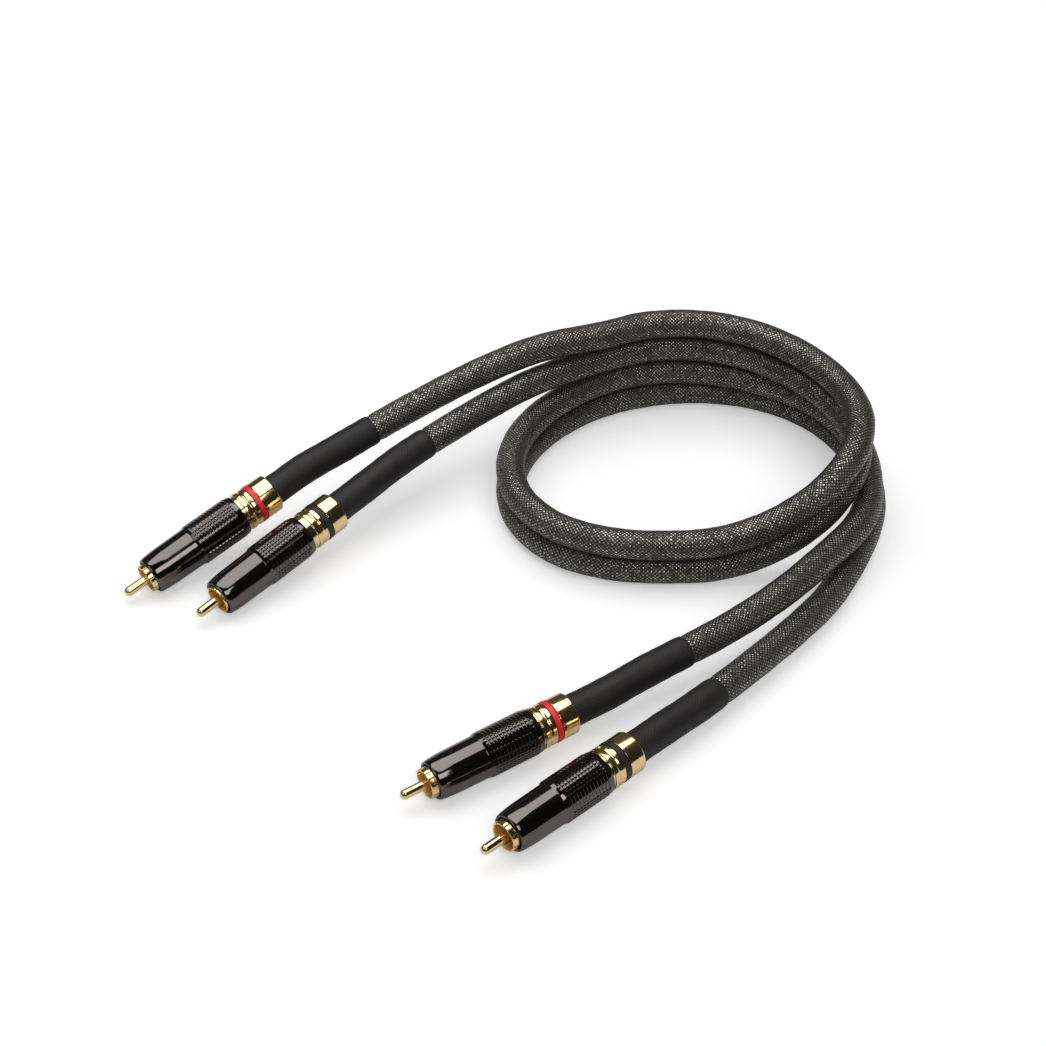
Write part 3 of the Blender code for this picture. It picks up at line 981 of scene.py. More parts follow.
@dataclass
class Barrel:
    """The black chrome barrel: a tapered nose, a knurled grip and a plain end ring."""

    nose_radius: float = 0.0062
    sleeve_radius: float = 0.0070
    knurl_radius: float = 0.00745
    length: float = 0.0369
    knurl_start: float = 0.0187
    pitch: float = 0.00133
    rings: int = 12
    groove: float = 0.00026
    nose_bore: float = 0.00545
    nose_bore_length: float = 0.0110
    bore: float = 0.0065
    skirt_bore: float = 0.0068
    skirt_start: float = 0.0344
    sides: int = 160
    flute_every: int = 4
    fluted_sector: float = 52.0
    nose_station: float = 0.0093
    nose_rise: tuple[tuple[float, float], ...] = (
        (-0.00022, 0.0), (-0.00006, 0.00006), (0.00006, 0.00022), (0.00020, 0.00060), (0.00031, 0.0013),
        (0.00044, 0.0025), (0.00055, 0.0038), (0.00063, 0.0050), (0.00068, 0.0062),
    )
    node: str = "barrel"
    finish: Finish = Finish.BLACK_CHROME

    def outline(self) -> Outline:
        """The barrel's outline, round its wall, with the nose at height zero."""
        nose = [
            (self.nose_bore + 0.00025, 0.0),
            *((self.nose_radius + rise, station) for rise, station in self.nose_rise),
            (self.sleeve_radius, self.knurl_start - 0.00115),
            (self.sleeve_radius + 0.00008, self.knurl_start - 0.00095),
            (self.knurl_radius - 0.00006, self.knurl_start - 0.00012),
            (self.knurl_radius, self.knurl_start),
        ]
        grip: Outline = []
        for k in range(self.rings):
            begin = self.knurl_start + self.pitch * k
            for depth, share in ((0.0, 0.48), (self.groove, 0.62), (self.groove, 0.78), (0.0, 0.92)):
                grip.append((self.knurl_radius - depth, begin + share * self.pitch))
        end = self.knurl_start + self.pitch * self.rings
        tail = [
            (self.knurl_radius, end + 0.0003),
            (self.knurl_radius - 0.00012, end + 0.0007),
            (self.knurl_radius - 0.00026, self.length - 0.00018),
            (self.knurl_radius - 0.00036, self.length),
            (self.skirt_bore, self.length),
            (self.skirt_bore, self.skirt_start),
            (self.bore, self.skirt_start),
            (self.bore, self.nose_bore_length),
            (self.nose_bore, self.nose_bore_length),
            (self.nose_bore, 0.00025),
        ]
        return nose + grip + tail

    def build(self) -> bpy.types.Object:
        """Turn the barrel, then press the flutes into its grip.

        Returns:
            The barrel, with its nose at the origin.
        """
        barrel = Workbench.turn("barrel_master", self.outline(), self.sides, closed=True)
        self._press_flutes(barrel)
        return barrel

    def _press_flutes(self, barrel: bpy.types.Object) -> None:
        """Sink some lines of vertices on the grip's crests, in four sectors round it."""
        bpy.context.view_layer.objects.active = barrel
        mesh = barrel.data
        for group in (mesh.vertices, mesh.edges, mesh.polygons):
            group.foreach_set("select", [False] * len(group))
        low = self.knurl_start + 0.0001
        high = self.knurl_start + self.pitch * self.rings + 0.0001
        for vertex in mesh.vertices:
            place = vertex.co
            line = round(math.degrees(math.atan2(place.y, place.x)) * self.sides / 360.0) % self.sides
            sector = (line * 360.0 / self.sides) % 90.0
            on_crest = place.xy.length > self.knurl_radius - 0.00004 and low < place.z < high
            vertex.select = on_crest and line % self.flute_every == 0 and sector < self.fluted_sector
        bpy.ops.object.mode_set(mode="EDIT")
        share = 1.0 - self.groove / self.knurl_radius
        bpy.ops.transform.resize(value=(share, share, 1.0), center_override=(0.0, 0.0, 0.0))
        bpy.ops.object.mode_set(mode="OBJECT")


@dataclass
class RearShell:
    """The gold rear shell: spigot, neck, two beads, band seat and collar."""

    spigot_radius: float = 0.0049
    spigot_start: float = 0.0400
    neck_start: float = 0.0460
    neck_radius: float = 0.0065
    bead_start: float = 0.0485
    bead_radius: float = 0.00695
    bead_width: float = 0.0017
    groove_depth: float = 0.00040
    rear_bead_start: float = 0.0514
    collar_radius: float = 0.00685
    seat_start: float = 0.0527
    seat_radius: float = 0.0062
    collar_start: float = 0.0551
    collar_end: float = 0.0613
    shell_bore: float = 0.00565
    bore_start: float = 0.0517
    wire_bore: float = 0.0029
    node: str = "rear_shell"
    finish: Finish = Finish.GOLD

    def build(self) -> bpy.types.Object:
        """Turn the shell and round its edges.

        Returns:
            The shell in the plug's frame.
        """
        bead, collar, bore = self.bead_radius, self.collar_radius, self.shell_bore
        groove, end = self.bead_start + self.bead_width, self.collar_end
        outline = [
            (self.spigot_radius - 0.0003, self.spigot_start),
            (self.spigot_radius, self.spigot_start + 0.0004),
            (self.spigot_radius, self.neck_start),
            (self.neck_radius, self.neck_start),
            (self.neck_radius, self.bead_start),
            (bead - 0.00010, self.bead_start),
            (bead, self.bead_start + 0.00018),
            (bead, groove - 0.00025),
            (bead - 0.00012, groove),
            (bead - self.groove_depth, groove + 0.00030),
            (bead - self.groove_depth, groove + 0.00075),
            (collar - 0.00012, self.rear_bead_start - 0.00012),
            (collar, self.rear_bead_start + 0.00010),
            (collar, self.seat_start),
            (self.seat_radius, self.seat_start),
            (self.seat_radius, self.collar_start),
            (collar, self.collar_start),
            (collar, end - 0.00075),
            (collar - 0.00018, end - 0.00035),
            (collar - 0.00050, end - 0.00006),
            (collar - 0.00070, end),
            (bore + 0.00015, end),
            (bore, end - 0.0002),
            (bore, self.bore_start),
            (self.wire_bore, self.bore_start),
            (self.wire_bore, self.spigot_start),
        ]
        shell = Workbench.turn("shell_master", outline, 96, closed=True)
        Workbench.soften(shell, 0.00008, angle=42.0)
        return shell


@dataclass
class ColourBand:
    """The coloured ring in the shell's band seat."""

    bore: float = 0.0065
    wall: float = 0.00045
    start: float = 0.0530
    end: float = 0.0548
    node: str = "color_band"
    finish: Finish = Finish.RED_BAND

    def build(self) -> bpy.types.Object:
        """Turn the ring with a slightly crowned outside.

        Returns:
            The ring in the plug's frame.
        """
        middle = 0.5 * (self.start + self.end)
        outer = self.bore + self.wall
        outline = [
            (outer - 0.00012, self.start),
            (outer - 0.00002, self.start + 0.00015),
            (outer, middle),
            (outer - 0.00002, self.end - 0.00015),
            (outer - 0.00012, self.end),
            (self.bore, self.end),
            (self.bore, self.start),
        ]
        return Workbench.turn("band_master", outline, 96, closed=True)


@dataclass
class LockingPlug:
    """One locking phono plug in its place on the table."""

    name: str
    colour: LeadColour
    tip: tuple[float, float, float]
    axis: tuple[float, float, float]
    barrel_back: float
    sleeve_length: float
    roll: float = -5.0

    @property
    def body(self) -> str:
        """The body that the barrel rides on."""
        return f"{self.name}_sliding_barrel"

    def matrix(self) -> Matrix:
        """From the plug's own frame to its place on the table."""
        turn = Vector(self.axis).normalized().to_track_quat("Z", "Y").to_matrix().to_4x4()
        return Matrix.Translation(self.tip) @ turn @ Matrix.Rotation(math.radians(self.roll), 4, "Z")

    def at(self, station: float) -> Vector:
        """The point on the plug's axis at a station."""
        return Vector(self.tip) + Vector(self.axis).normalized() * station

    def install(self, masters: "PlugMasters", shop: FinishShop) -> list[bpy.types.Object]:
        """Put a copy of each master piece in this plug's place and dress it.

        Args:
            masters: The modelled pieces.
            shop: The finishes.

        Returns:
            The plug's new pieces.
        """
        pieces = []
        for design, master in masters.pieces:
            offset = Matrix.Identity(4)
            body = "cable"
            if isinstance(design, Barrel):
                offset = Matrix.Translation((0.0, 0.0, design.nose_station + self.barrel_back))
                body = self.body
            mesh = master.data.copy()
            mesh.transform(self.matrix() @ offset)
            piece = bpy.data.objects.new(f"{self.name}_turned_{design.node}", mesh)
            bpy.context.scene.collection.objects.link(piece)
            finish = design.finish
            if isinstance(design, ColourBand):
                finish = Finish.RED_BAND if self.colour is LeadColour.RED else Finish.BLACK_BAND
            shop.dress(piece, finish)
            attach(piece, body)
            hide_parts(f"{self.name}_{design.node}")
            pieces.append(piece)
            LOG.info("%s: %d faces on body %s", piece.name, len(mesh.polygons), body)
        shop.redress(f"{self.name}_cable_clamp", Finish.CLAMP)
        for wire in ("signal_wire", "ground_wire"):
            shop.redress(f"{self.name}_{wire}", Finish.WIRE)
        return pieces


class PlugMasters:
    """Models each turned piece of the plug once."""

    def __init__(self) -> None:
        """Model, unroll and smooth the master pieces."""
        self.pieces: list[tuple[object, bpy.types.Object]] = []
        for design in (CenterPin(), Insulator(), ContactBody(), Barrel(), RearShell(), ColourBand()):
            master = design.build()
            Workbench.unroll(master)
            Workbench.smooth(master, 24.0 if isinstance(design, Barrel) else 32.0)
            self.pieces.append((design, master))

    def put_away(self) -> None:
        """Remove the masters once every plug has its copies."""
        for _, master in self.pieces:
            mesh = master.data
            bpy.data.objects.remove(master, do_unlink=True)
            bpy.data.meshes.remove(mesh)


# ------------------------------------------------------------------------------------------------
# The leads
# ------------------------------------------------------------------------------------------------


@dataclass
class CoilShape:
    """The oval coil that both leads share, wound clockwise seen from above."""

    centre: tuple[float, float] = (0.0561, 0.0183)
    half_axes: tuple[float, float] = (0.0592, 0.0490)
    turn: float = -1.9
    first_angle: float = 118.0
    step: float = 18.0
    steps: int = 26
    bulge: tuple[float, float, float] = (0.0043, -129.0, 33.0)
    lobes: tuple[float, float] = (-0.00038, -0.0020)
    first_height: float = 0.00504
    level_pitch: float = 0.0103

    @staticmethod
    def ease(angle: float, start: float, end: float) -> float:
        """0 before the start angle, 1 past the end angle and a smooth S between them."""
        t = min(max((start - angle) / (start - end), 0.0), 1.0)
        return t * t * (3.0 - 2.0 * t)

    def points(
        self, levels: tuple[int, int], fall: tuple[float, float], spread: tuple[float, float, float]
    ) -> list[Vector]:
        """The points of one lead's turns.

        Args:
            levels: Height of its first and last turn, counted in leads from the table.
            fall: Angles between which it comes down.
            spread: How far, and between which angles, its last turn opens outwards.

        Returns:
            The points, one for each step of the angle.
        """
        made = []
        tilt = math.radians(self.turn)
        for k in range(self.steps):
            angle = self.first_angle - self.step * k
            level = levels[0] + (levels[1] - levels[0]) * self.ease(angle, *fall)
            out = spread[0] * self.ease(angle, spread[1], spread[2])
            out += self.bulge[0] * math.exp(-(((angle - self.bulge[1]) / self.bulge[2]) ** 2))
            out += self.lobes[0] * math.cos(math.radians(3 * angle))
            out += self.lobes[1] * math.sin(math.radians(3 * angle))
            turn = math.radians(angle) - tilt
            u = (self.half_axes[0] + out) * math.cos(turn)
            v = (self.half_axes[1] + out) * math.sin(turn)
            made.append(Vector((
                self.centre[0] + u * math.cos(tilt) - v * math.sin(tilt),
                self.centre[1] + u * math.sin(tilt) + v * math.cos(tilt),
                self.first_height + self.level_pitch * level,
            )))
        return made


class CentreLine:
    """A lead's centre line as closely spaced points, with the length along it."""

    def __init__(self, points: list[Vector]) -> None:
        """Measure a list of points.

        Args:
            points: The points in order.
        """
        self.points = points
        self.along = [0.0]
        for first, second in zip(points, points[1:]):
            self.along.append(self.along[-1] + (second - first).length)

    @property
    def length(self) -> float:
        """The whole length."""
        return self.along[-1]

    @classmethod
    def through(cls, route: list[Vector], spans: int = 12) -> "CentreLine":
        """A smooth curve through the points of a route.

        Args:
            route: The points that it passes through.
            spans: Steps between two of them.

        Returns:
            The centre line.
        """
        padded = [2 * route[0] - route[1], *route, 2 * route[-1] - route[-2]]
        dense = []
        for p0, p1, p2, p3 in zip(padded, padded[1:], padded[2:], padded[3:]):
            for k in range(spans):
                t = k / spans
                dense.append(0.5 * (
                    2 * p1 + (p2 - p0) * t + (2 * p0 - 5 * p1 + 4 * p2 - p3) * t ** 2
                    + (3 * p1 - p0 - 3 * p2 + p3) * t ** 3
                ))
        dense.append(route[-1].copy())
        return cls(dense)

    def at(self, distance: float) -> Vector:
        """The point at a distance along the line."""
        low, high = 0, len(self.points) - 1
        while high - low > 1:
            middle = (low + high) // 2
            if self.along[middle] <= distance:
                low = middle
            else:
                high = middle
        share = (distance - self.along[low]) / (self.along[high] - self.along[low])
        return self.points[low].lerp(self.points[high], min(max(share, 0.0), 1.0))

    def stretch(self, start: float, end: float, step: float) -> "CentreLine":
        """Part of the line at even steps.

        Args:
            start: Distance at which it begins.
            end: Distance at which it ends, which may be less than start.
            step: About how far apart its points are.

        Returns:
            The stretch as a centre line of its own.
        """
        count = max(2, round(abs(end - start) / step))
        return CentreLine([self.at(start + (end - start) * k / count) for k in range(count + 1)])


class TubeMaker:
    """Sweeps round sections along a centre line, with a map of turns round it and metres along it."""

    @staticmethod
    def sections(line: CentreLine) -> list[tuple[Vector, Vector, Vector]]:
        """Each point of the line with two directions across it, carried along without a twist.

        Args:
            line: The centre line.

        Returns:
            For each point, the point and the two directions.
        """
        made = []
        points = line.points
        side = (points[1] - points[0]).orthogonal().normalized()
        for k, place in enumerate(points):
            along = (points[min(k + 1, len(points) - 1)] - points[max(k - 1, 0)]).normalized()
            side = (side - along * side.dot(along)).normalized()
            made.append((place, side, along.cross(side)))
        return made

    @classmethod
    def sweep(cls, name: str, line: CentreLine, skins: list[list[float]], sides: int) -> bpy.types.Object:
        """Sweep one skin with closed ends, or an outer and an inner skin joined at both ends.

        Args:
            name: The piece's name.
            line: The centre line.
            skins: For each skin, a radius at every point of the line.
            sides: Faces round it.

        Returns:
            The swept piece.
        """
        bm = bmesh.new()
        layer = bm.loops.layers.uv.new("unrolled")
        frames = cls.sections(line)
        rings = []
        marks = []
        for skin, radii in enumerate(skins):
            order = range(len(frames)) if skin == 0 else reversed(range(len(frames)))
            for k in order:
                place, side, across = frames[k]
                rings.append([
                    bm.verts.new(
                        place
                        + side * (radii[k] * math.cos(2 * math.pi * j / sides))
                        + across * (radii[k] * math.sin(2 * math.pi * j / sides))
                    )
                    for j in range(sides)
                ])
                marks.append(line.along[k])
        if len(skins) == 2:
            rings.append(rings[0])
            marks.append(marks[0])
        for (first, here), (second, there) in zip(zip(rings, marks), zip(rings[1:], marks[1:])):
            for j in range(sides):
                n = (j + 1) % sides
                face = bm.faces.new((first[j], first[n], second[n], second[j]))
                face.smooth = True
                for loop, uv in zip(face.loops, ((j, here), (j + 1, here), (j + 1, there), (j, there))):
                    loop[layer].uv = (uv[0] / sides, uv[1])
        if len(skins) == 1:
            bm.faces.new(rings[0][::-1])
            bm.faces.new(rings[-1])
        bmesh.ops.recalc_face_normals(bm, faces=bm.faces)
        mesh = bpy.data.meshes.new(name)
        bm.to_mesh(mesh)
        bm.free()
        piece = bpy.data.objects.new(name, mesh)
        bpy.context.scene.collection.objects.link(piece)
        return piece


@dataclass
class BraidedLead:
    """One lead from plug to plug, with a heat-shrink sleeve at each end."""

    colour: LeadColour
    first: LockingPlug
    last: LockingPlug
    leaving: tuple[tuple[float, float, float], ...]
    levels: tuple[int, int]
    fall: tuple[float, float]
    spread: tuple[float, float, float]
    arriving: tuple[tuple[float, float, float], ...]
    coil: CoilShape = field(default_factory=CoilShape)
    layout_centre: tuple[float, float, float] = (-0.00328, -0.04189, 0.0)
    radius: float = 0.0050
    gripped_radius: float = 0.0045
    start_station: float = 0.0520
    axis_step: float = 0.0120
    sleeve_start: float = 0.0050
    sleeve_bore: float = 0.0048
    sleeve_radius: float = 0.00531
    lip_depth: float = 0.00022
    lip_length: float = 0.0009
    braid_step: float = 0.0020
    sleeve_step: float = 0.0007
    sides: int = 48
    braid_waves: tuple[Wave, ...] = ((0.000035, 410.0, 0.0), (0.00003, 930.0, 1.3))
    sleeve_waves: tuple[Wave, ...] = ((0.00003, 1150.0, 0.0), (0.00004, 390.0, 0.7))
    line: CentreLine = field(init=False)

    def __post_init__(self) -> None:
        """Lay out the centre line."""
        centre = Vector(self.layout_centre)
        first, last = (
            [plug.at(self.start_station + self.axis_step * k) for k in range(3)]
            for plug in (self.first, self.last)
        )
        turns = [p - centre for p in self.coil.points(self.levels, self.fall, self.spread)]
        leaving, arriving = (
            [Vector(p) * 0.001 - centre for p in part] for part in (self.leaving, self.arriving)
        )
        self.line = CentreLine.through(first + leaving + turns + arriving + last[::-1])

    def gripped(self, plug: LockingPlug) -> float:
        """Length of lead that lies in a plug's shell and sleeve."""
        return self.sleeve_start + plug.sleeve_length

    @staticmethod
    def _ripple(waves: tuple[Wave, ...], distance: float) -> float:
        """The sum at a distance of faint waves, each a height, a rate in radians per metre and a phase."""
        return sum(height * math.sin(distance * rate + phase) for height, rate, phase in waves)

    def _braid_radius(self, distance: float) -> float:
        """The braid's radius: squeezed under the sleeves and faintly uneven elsewhere."""
        left = self.line.length - distance
        past_sleeve = min(distance - self.gripped(self.first), left - self.gripped(self.last))
        free = CoilShape.ease(past_sleeve, -0.0006, 0.0024)
        swell = self.radius - self.gripped_radius + self._ripple(self.braid_waves, distance)
        return self.gripped_radius + swell * free

    def build_braid(self, shop: FinishShop) -> bpy.types.Object:
        """Sweep the braid along the whole route.

        Args:
            shop: The finishes.

        Returns:
            The braid.
        """
        line = self.line.stretch(0.0, self.line.length, self.braid_step)
        radii = [self._braid_radius(along) for along in line.along]
        braid = TubeMaker.sweep(f"{self.colour.value}_braid", line, [radii], self.sides)
        shop.dress(braid, Finish.BRAID)
        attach(braid, "cable")
        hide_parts(f"{self.colour.value}_lead")
        LOG.info("%s: %d faces, %.3f m long", braid.name, len(braid.data.polygons), line.length)
        return braid

    def build_sleeve(self, plug: LockingPlug, shop: FinishShop) -> bpy.types.Object:
        """Sweep one heat-shrink sleeve, drawn in at its end where it shrank past the braid's edge.

        Args:
            plug: The plug that it comes out of.
            shop: The finishes.

        Returns:
            The sleeve.
        """
        start, end = self.sleeve_start, self.gripped(plug)
        if plug is self.last:
            start, end = self.line.length - start, self.line.length - end
        line = self.line.stretch(start, end, self.sleeve_step)
        outer = []
        for along in line.along:
            lip = self.lip_depth * math.exp(-(((line.length - along) / self.lip_length) ** 2))
            outer.append(self.sleeve_radius + self._ripple(self.sleeve_waves, along) - lip)
        inner = [self.sleeve_bore] * len(outer)
        sleeve = TubeMaker.sweep(f"{plug.name}_shrunk_sleeve", line, [outer, inner], self.sides)
        Workbench.soften(sleeve, 0.00008, angle=60.0)
        Workbench.smooth(sleeve, 50.0)
        shop.dress(sleeve, Finish.SLEEVE)
        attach(sleeve, "cable")
        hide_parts(f"{plug.name}_heat_shrink")
        LOG.info("%s: %d faces", sleeve.name, len(sleeve.data.polygons))
        return sleeve

    def declare(self, braid: bpy.types.Object, on_it: list[bpy.types.Object]) -> None:
        """Work out points along the centre line, which nothing uses.

        Args:
            braid: The swept braid. Not used.
            on_it: The pieces on its far end. Not used.
        """
        [tuple(self.line.at(self.line.length * k / 200)) for k in range(201)]


# ------------------------------------------------------------------------------------------------
# The studio
# ------------------------------------------------------------------------------------------------


@dataclass(frozen=True)
class Panel:
    """A rectangle in the studio that faces the middle of the table, or straight down if it has a turn.

    Its strength is the glow of a card, or the power of a light in watts.
    """

    name: str
    place: tuple[float, float, float]
    size: tuple[float, float]
    strength: float
    turn: float | None = None

    def rotation(self, front: str) -> Quaternion:
        """The panel's rotation.

        Args:
            front: The local axis that it faces with, Z or -Z.

        Returns:
            The rotation. A panel with a turn faces straight down, turned by that many degrees.
        """
        if self.turn is None:
            return (-Vector(self.place)).to_track_quat(front, "Y")
        flip = 180.0 if front == "Z" else 0.0
        return Euler((math.radians(flip), 0.0, math.radians(self.turn))).to_quaternion()


@dataclass
class Studio:
    """A white table under a large softbox, with dark and pale cards that polished metal can see."""

    camera_height: float = 0.5097
    camera_back: float = 0.6075
    view_down: float = 40.0
    lens: float = 78.45
    offset: tuple[float, float] = (0.00328, 0.04189)
    white: Colour = (1.0, 1.0, 1.0)
    table_size: float = 6.0
    table_glow: float = 0.40
    white_from: tuple[float, float] = (0.36, 0.90)
    dark_from: tuple[float, float] = (0.45, 0.63)
    dark_round: tuple[float, float, float] = (-0.15, -0.15, 0.0)
    wall_radius: float = 1.3
    wall_height: float = 1.6
    wall_sides: int = 64
    ceiling_size: float = 2.8
    dark_tint: Colour = (1.0, 0.97, 0.93)
    dark_glow: tuple[float, float] = (0.020, 0.070)
    fill_glow: float = 0.30
    front_card: Panel = Panel("front_left_card", (-0.62, -0.40, 0.62), (0.55, 0.40), 1.1)
    softbox_face: Panel = Panel("softbox_face", (-0.145, 0.338, 0.95), (1.18, 0.88), 2.35, -21.8)
    softbox: Panel = Panel("softbox", (-0.145, 0.338, 0.95), (1.18, 0.88), 5.4, -21.8)
    front_fill: Panel = Panel("front_fill", (0.35, -0.75, 0.95), (0.50, 0.50), 2.6)

    @staticmethod
    def _glow(w: Wiring, colour: Colour, strength: object) -> bpy.types.Node:
        """Add an Emission node.

        Args:
            w: The wiring of its material.
            colour: Its colour.
            strength: Its strength.

        Returns:
            The node.
        """
        made = w.node("Emission")
        w.fill(made, Color=colour, Strength=strength)
        return made

    @staticmethod
    def _far(w: Wiring, centre: tuple[float, float, float], reach: tuple[float, float]) -> Socket:
        """Tell the far parts of the table from the near ones.

        Args:
            w: The wiring of its material.
            centre: Where distances are measured from.
            reach: Distances at which the far part begins and is complete.

        Returns:
            0 near the centre and 1 far from it.
        """
        made = w.node("VectorMath", operation="DISTANCE")
        for socket, value in zip(made.inputs, (w.node("TexCoord").outputs["Object"], centre)):
            w.feed(socket, value)
        return w.spread(made.outputs["Value"], *reach)

    @staticmethod
    def _for_reflections(name: str, material: bpy.types.Material) -> bpy.types.Object:
        """Make a card of the object that was just added. Only reflections see it.

        Args:
            name: The card's name.
            material: Its material.

        Returns:
            The card.
        """
        card = bpy.context.object
        card.name = name
        card.data.materials.append(material)
        card.visible_camera = card.visible_diffuse = card.visible_shadow = False
        return card

    def add_camera(self) -> None:
        """Put the camera where the photograph was taken from."""
        data = bpy.data.cameras.new("camera")
        data.lens = self.lens
        data.sensor_width = 36.0
        data.clip_start = 0.01
        camera = bpy.data.objects.new("camera", data)
        camera.location = (self.offset[0], self.offset[1] - self.camera_back, self.camera_height)
        camera.rotation_euler = (math.radians(90.0 - self.view_down), 0.0, 0.0)
        bpy.context.scene.collection.objects.link(camera)
        bpy.context.scene.camera = camera

    def add_table(self) -> None:
        """A plain white table top. Its far parts are pure white to the camera and dark in reflections."""
        Workbench.clear_selection()
        bpy.ops.mesh.primitive_plane_add(size=self.table_size, location=(0.0, 0.0, -0.0002))
        table = bpy.context.object
        table.name = "table_top"
        material, w, shader = new_material("white_table")
        w.fill(shader, Base_Color=(0.86, 0.86, 0.86), Roughness=0.9, Specular_IOR_Level=0.0)
        lit = w.node("AddShader")
        for socket, part in zip(lit.inputs, (shader, self._glow(w, self.white, self.table_glow))):
            w.feed(socket, part.outputs[0])
        dark = w.node("BsdfDiffuse")
        w.fill(dark, Color=(0.02, 0.02, 0.02))
        path = w.node("LightPath").outputs
        mirrored = w.times(path["Is Glossy Ray"], self._far(w, self.dark_round, self.dark_from))
        far = self._far(w, (0.0, 0.0, 0.0), self.white_from)
        backdrop = w.blend(far, lit, self._glow(w, self.white, 1.0))
        w.finish(w.blend(path["Is Camera Ray"], w.blend(mirrored, shader, dark), backdrop))
        table.data.materials.append(material)

    def add_world(self) -> None:
        """A white surround for the camera and reflections, and an even fill for everything else."""
        world = bpy.data.worlds.new("surround")
        bpy.context.scene.world = world
        world.use_nodes = True
        w = Wiring(world.node_tree)
        shade = next(n for n in w.tree.nodes if n.type == "BACKGROUND")
        path = w.node("LightPath").outputs
        seen = w.math("MAXIMUM", path["Is Camera Ray"], path["Is Transmission Ray"])
        seen = w.math("MAXIMUM", seen, path["Is Glossy Ray"])
        w.fill(shade, Color=self.white, Strength=w.spread(seen, 0.0, 1.0, self.fill_glow, 1.0))

    def add_dark_cards(self) -> None:
        """Dark cards round and above the table, a little paler towards the back."""
        material, w, _ = new_material("dark_card")
        towards_back = w.separate(w.node("TexCoord").outputs["Object"])[1]
        w.finish(self._glow(w, self.dark_tint, w.spread(towards_back, -0.3, 0.6, *self.dark_glow)))
        Workbench.clear_selection()
        bpy.ops.mesh.primitive_cylinder_add(
            vertices=self.wall_sides, radius=self.wall_radius, depth=self.wall_height,
            end_fill_type="NOTHING", location=(0.0, 0.0, 0.5 * self.wall_height),
        )
        self._for_reflections("dark_card_0", material)
        bpy.ops.mesh.primitive_plane_add(size=self.ceiling_size, location=(0.0, 0.0, self.wall_height))
        self._for_reflections("dark_card_1", material)

    def add_pale_card(self, panel: Panel) -> None:
        """A pale card that only reflections see.

        Args:
            panel: Where it stands.
        """
        material, w, _ = new_material(panel.name)
        w.finish(self._glow(w, self.white, panel.strength))
        Workbench.clear_selection()
        bpy.ops.mesh.primitive_plane_add(size=1.0, location=panel.place)
        card = self._for_reflections(panel.name, material)
        card.scale = (*panel.size, 1.0)
        card.rotation_mode = "QUATERNION"
        card.rotation_quaternion = panel.rotation("Z")

    def add_light(self, panel: Panel, mirrored: bool) -> None:
        """A rectangular light.

        Args:
            panel: Where it stands.
            mirrored: Whether shiny surfaces show it.
        """
        data = bpy.data.lights.new(panel.name, "AREA")
        data.shape = "RECTANGLE"
        data.size, data.size_y = panel.size
        data.energy = panel.strength
        light = bpy.data.objects.new(panel.name, data)
        light.location = panel.place
        light.rotation_mode = "QUATERNION"
        light.rotation_quaternion = panel.rotation("-Z")
        light.visible_glossy = mirrored
        bpy.context.scene.collection.objects.link(light)

    def build(self) -> None:
        """Set up the whole studio."""
        self.add_camera()
        self.add_table()
        self.add_world()
        self.add_dark_cards()
        self.add_pale_card(self.front_card)
        self.add_pale_card(self.softbox_face)
        self.add_light(self.softbox, mirrored=False)
        self.add_light(self.front_fill, mirrored=True)
        bpy.context.scene.view_settings.view_transform = "Standard"


# ------------------------------------------------------------------------------------------------
# The whole cable
# ------------------------------------------------------------------------------------------------


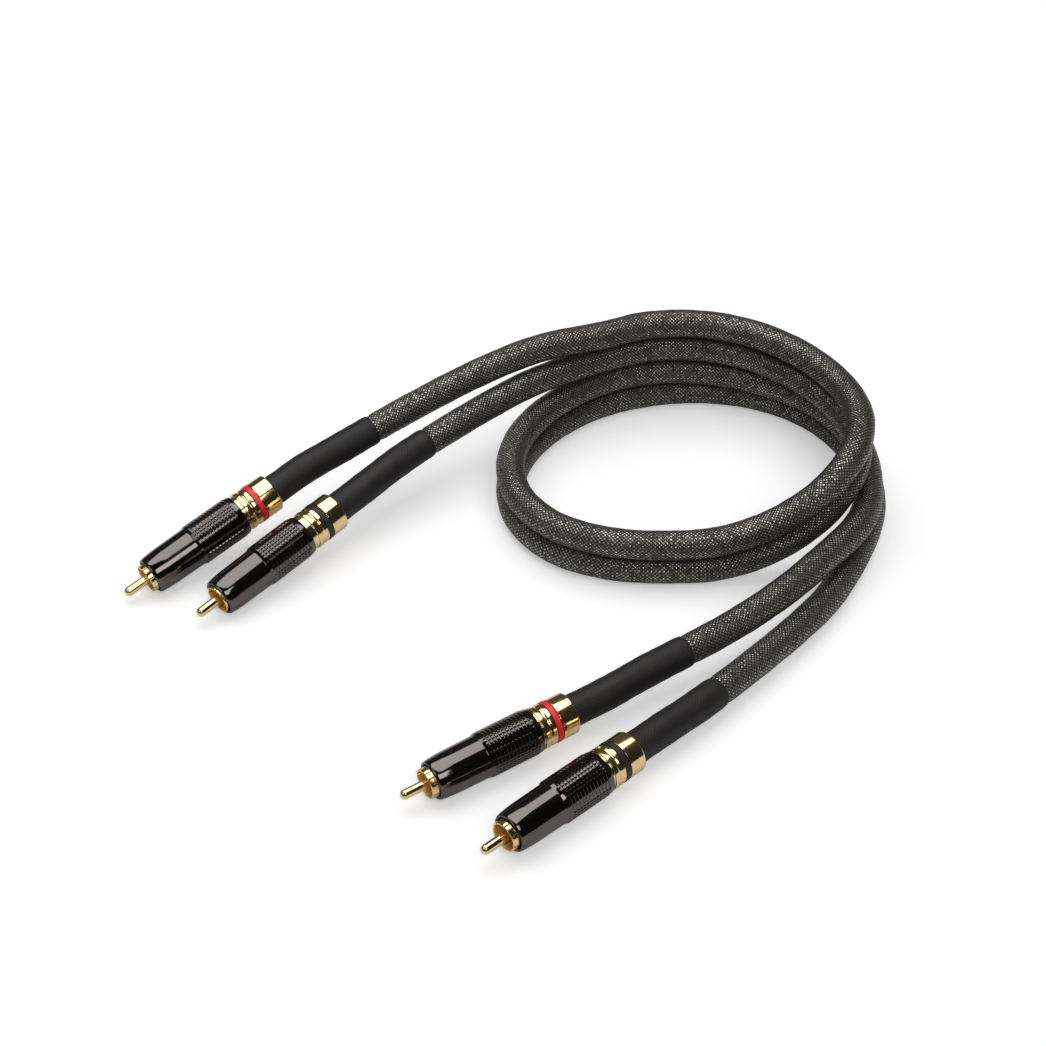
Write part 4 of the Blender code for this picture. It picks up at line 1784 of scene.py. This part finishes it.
class Interconnect:
    """The stereo pair: two leads and their four plugs."""

    def __init__(self) -> None:
        """Lay out the plugs and the leads."""
        red, black = LeadColour.RED, LeadColour.BLACK
        red_a = LockingPlug(
            "red_a", red, (-0.12912, 0.00039, 0.003894), (0.758725, 0.614403, 0.216440), 0.00100, 0.0465
        )
        red_b = LockingPlug(
            "red_b", red, (-0.03352, -0.09371, 0.006414), (0.834339, 0.550145, 0.034899), 0.00155, 0.0495
        )
        black_a = LockingPlug(
            "black_a", black, (-0.10372, -0.01091, 0.004861), (0.701218, 0.696340, 0.152986), 0.0, 0.0470
        )
        black_b = LockingPlug(
            "black_b", black, (-0.00882, -0.11681, 0.007450), (0.738455, 0.674302, 0.0), 0.00135, 0.0427
        )
        self.plugs = [red_a, red_b, black_a, black_b]
        self.leads = [
            BraidedLead(
                red, red_a, red_b,
                leaving=((-62.0, 14.0, 23.0), (-41.0, 27.8, 28.0), (-15.5, 42.5, 33.6), (5.9, 53.1, 36.4)),
                levels=(3, 1), fall=(-8.9, -92.2), spread=(0.0047, -280.0, -333.0),
                arriving=((117.8, 25.0, 15.4), (119.0, 3.0, 15.4), (113.9, -17.6, 15.3), (97.4, -39.2, 15.2),
                          (81.7, -54.9, 13.8), (63.7, -68.8, 11.9), (40.3, -84.2, 10.2)),
            ),
            BraidedLead(
                black, black_a, black_b,
                leaving=((-42.8, 10.8, 19.0), (-29.8, 21.9, 21.4), (-11.0, 36.6, 24.4), (6.1, 48.8, 26.0)),
                levels=(2, 0), fall=(-7.9, -88.7), spread=(0.0076, -255.0, -324.0),
                arriving=((120.3, 25.0, 5.1), (121.2, 4.8, 5.1), (115.6, -16.0, 5.1), (103.1, -41.6, 5.1),
                          (90.2, -59.5, 5.9), (71.7, -80.4, 6.7), (55.8, -96.6, 7.1)),
            ),
        ]

    def build(self) -> None:
        """Model, place and dress every piece."""
        shop = FinishShop(Effects())
        braids = [lead.build_braid(shop) for lead in self.leads]
        masters = PlugMasters()
        fitted = {plug.name: plug.install(masters, shop) for plug in self.plugs}
        masters.put_away()
        for lead in self.leads:
            for plug in (lead.first, lead.last):
                fitted[plug.name].append(lead.build_sleeve(plug, shop))
        for lead, braid in zip(self.leads, braids):
            lead.declare(braid, fitted[lead.last.name])


def main() -> None:
    """Build the studio and the cable."""
    logging.basicConfig(level=logging.INFO, format="%(name)s: %(message)s")
    Studio().build()
    Interconnect().build()


if __name__ == "__main__":
    main()
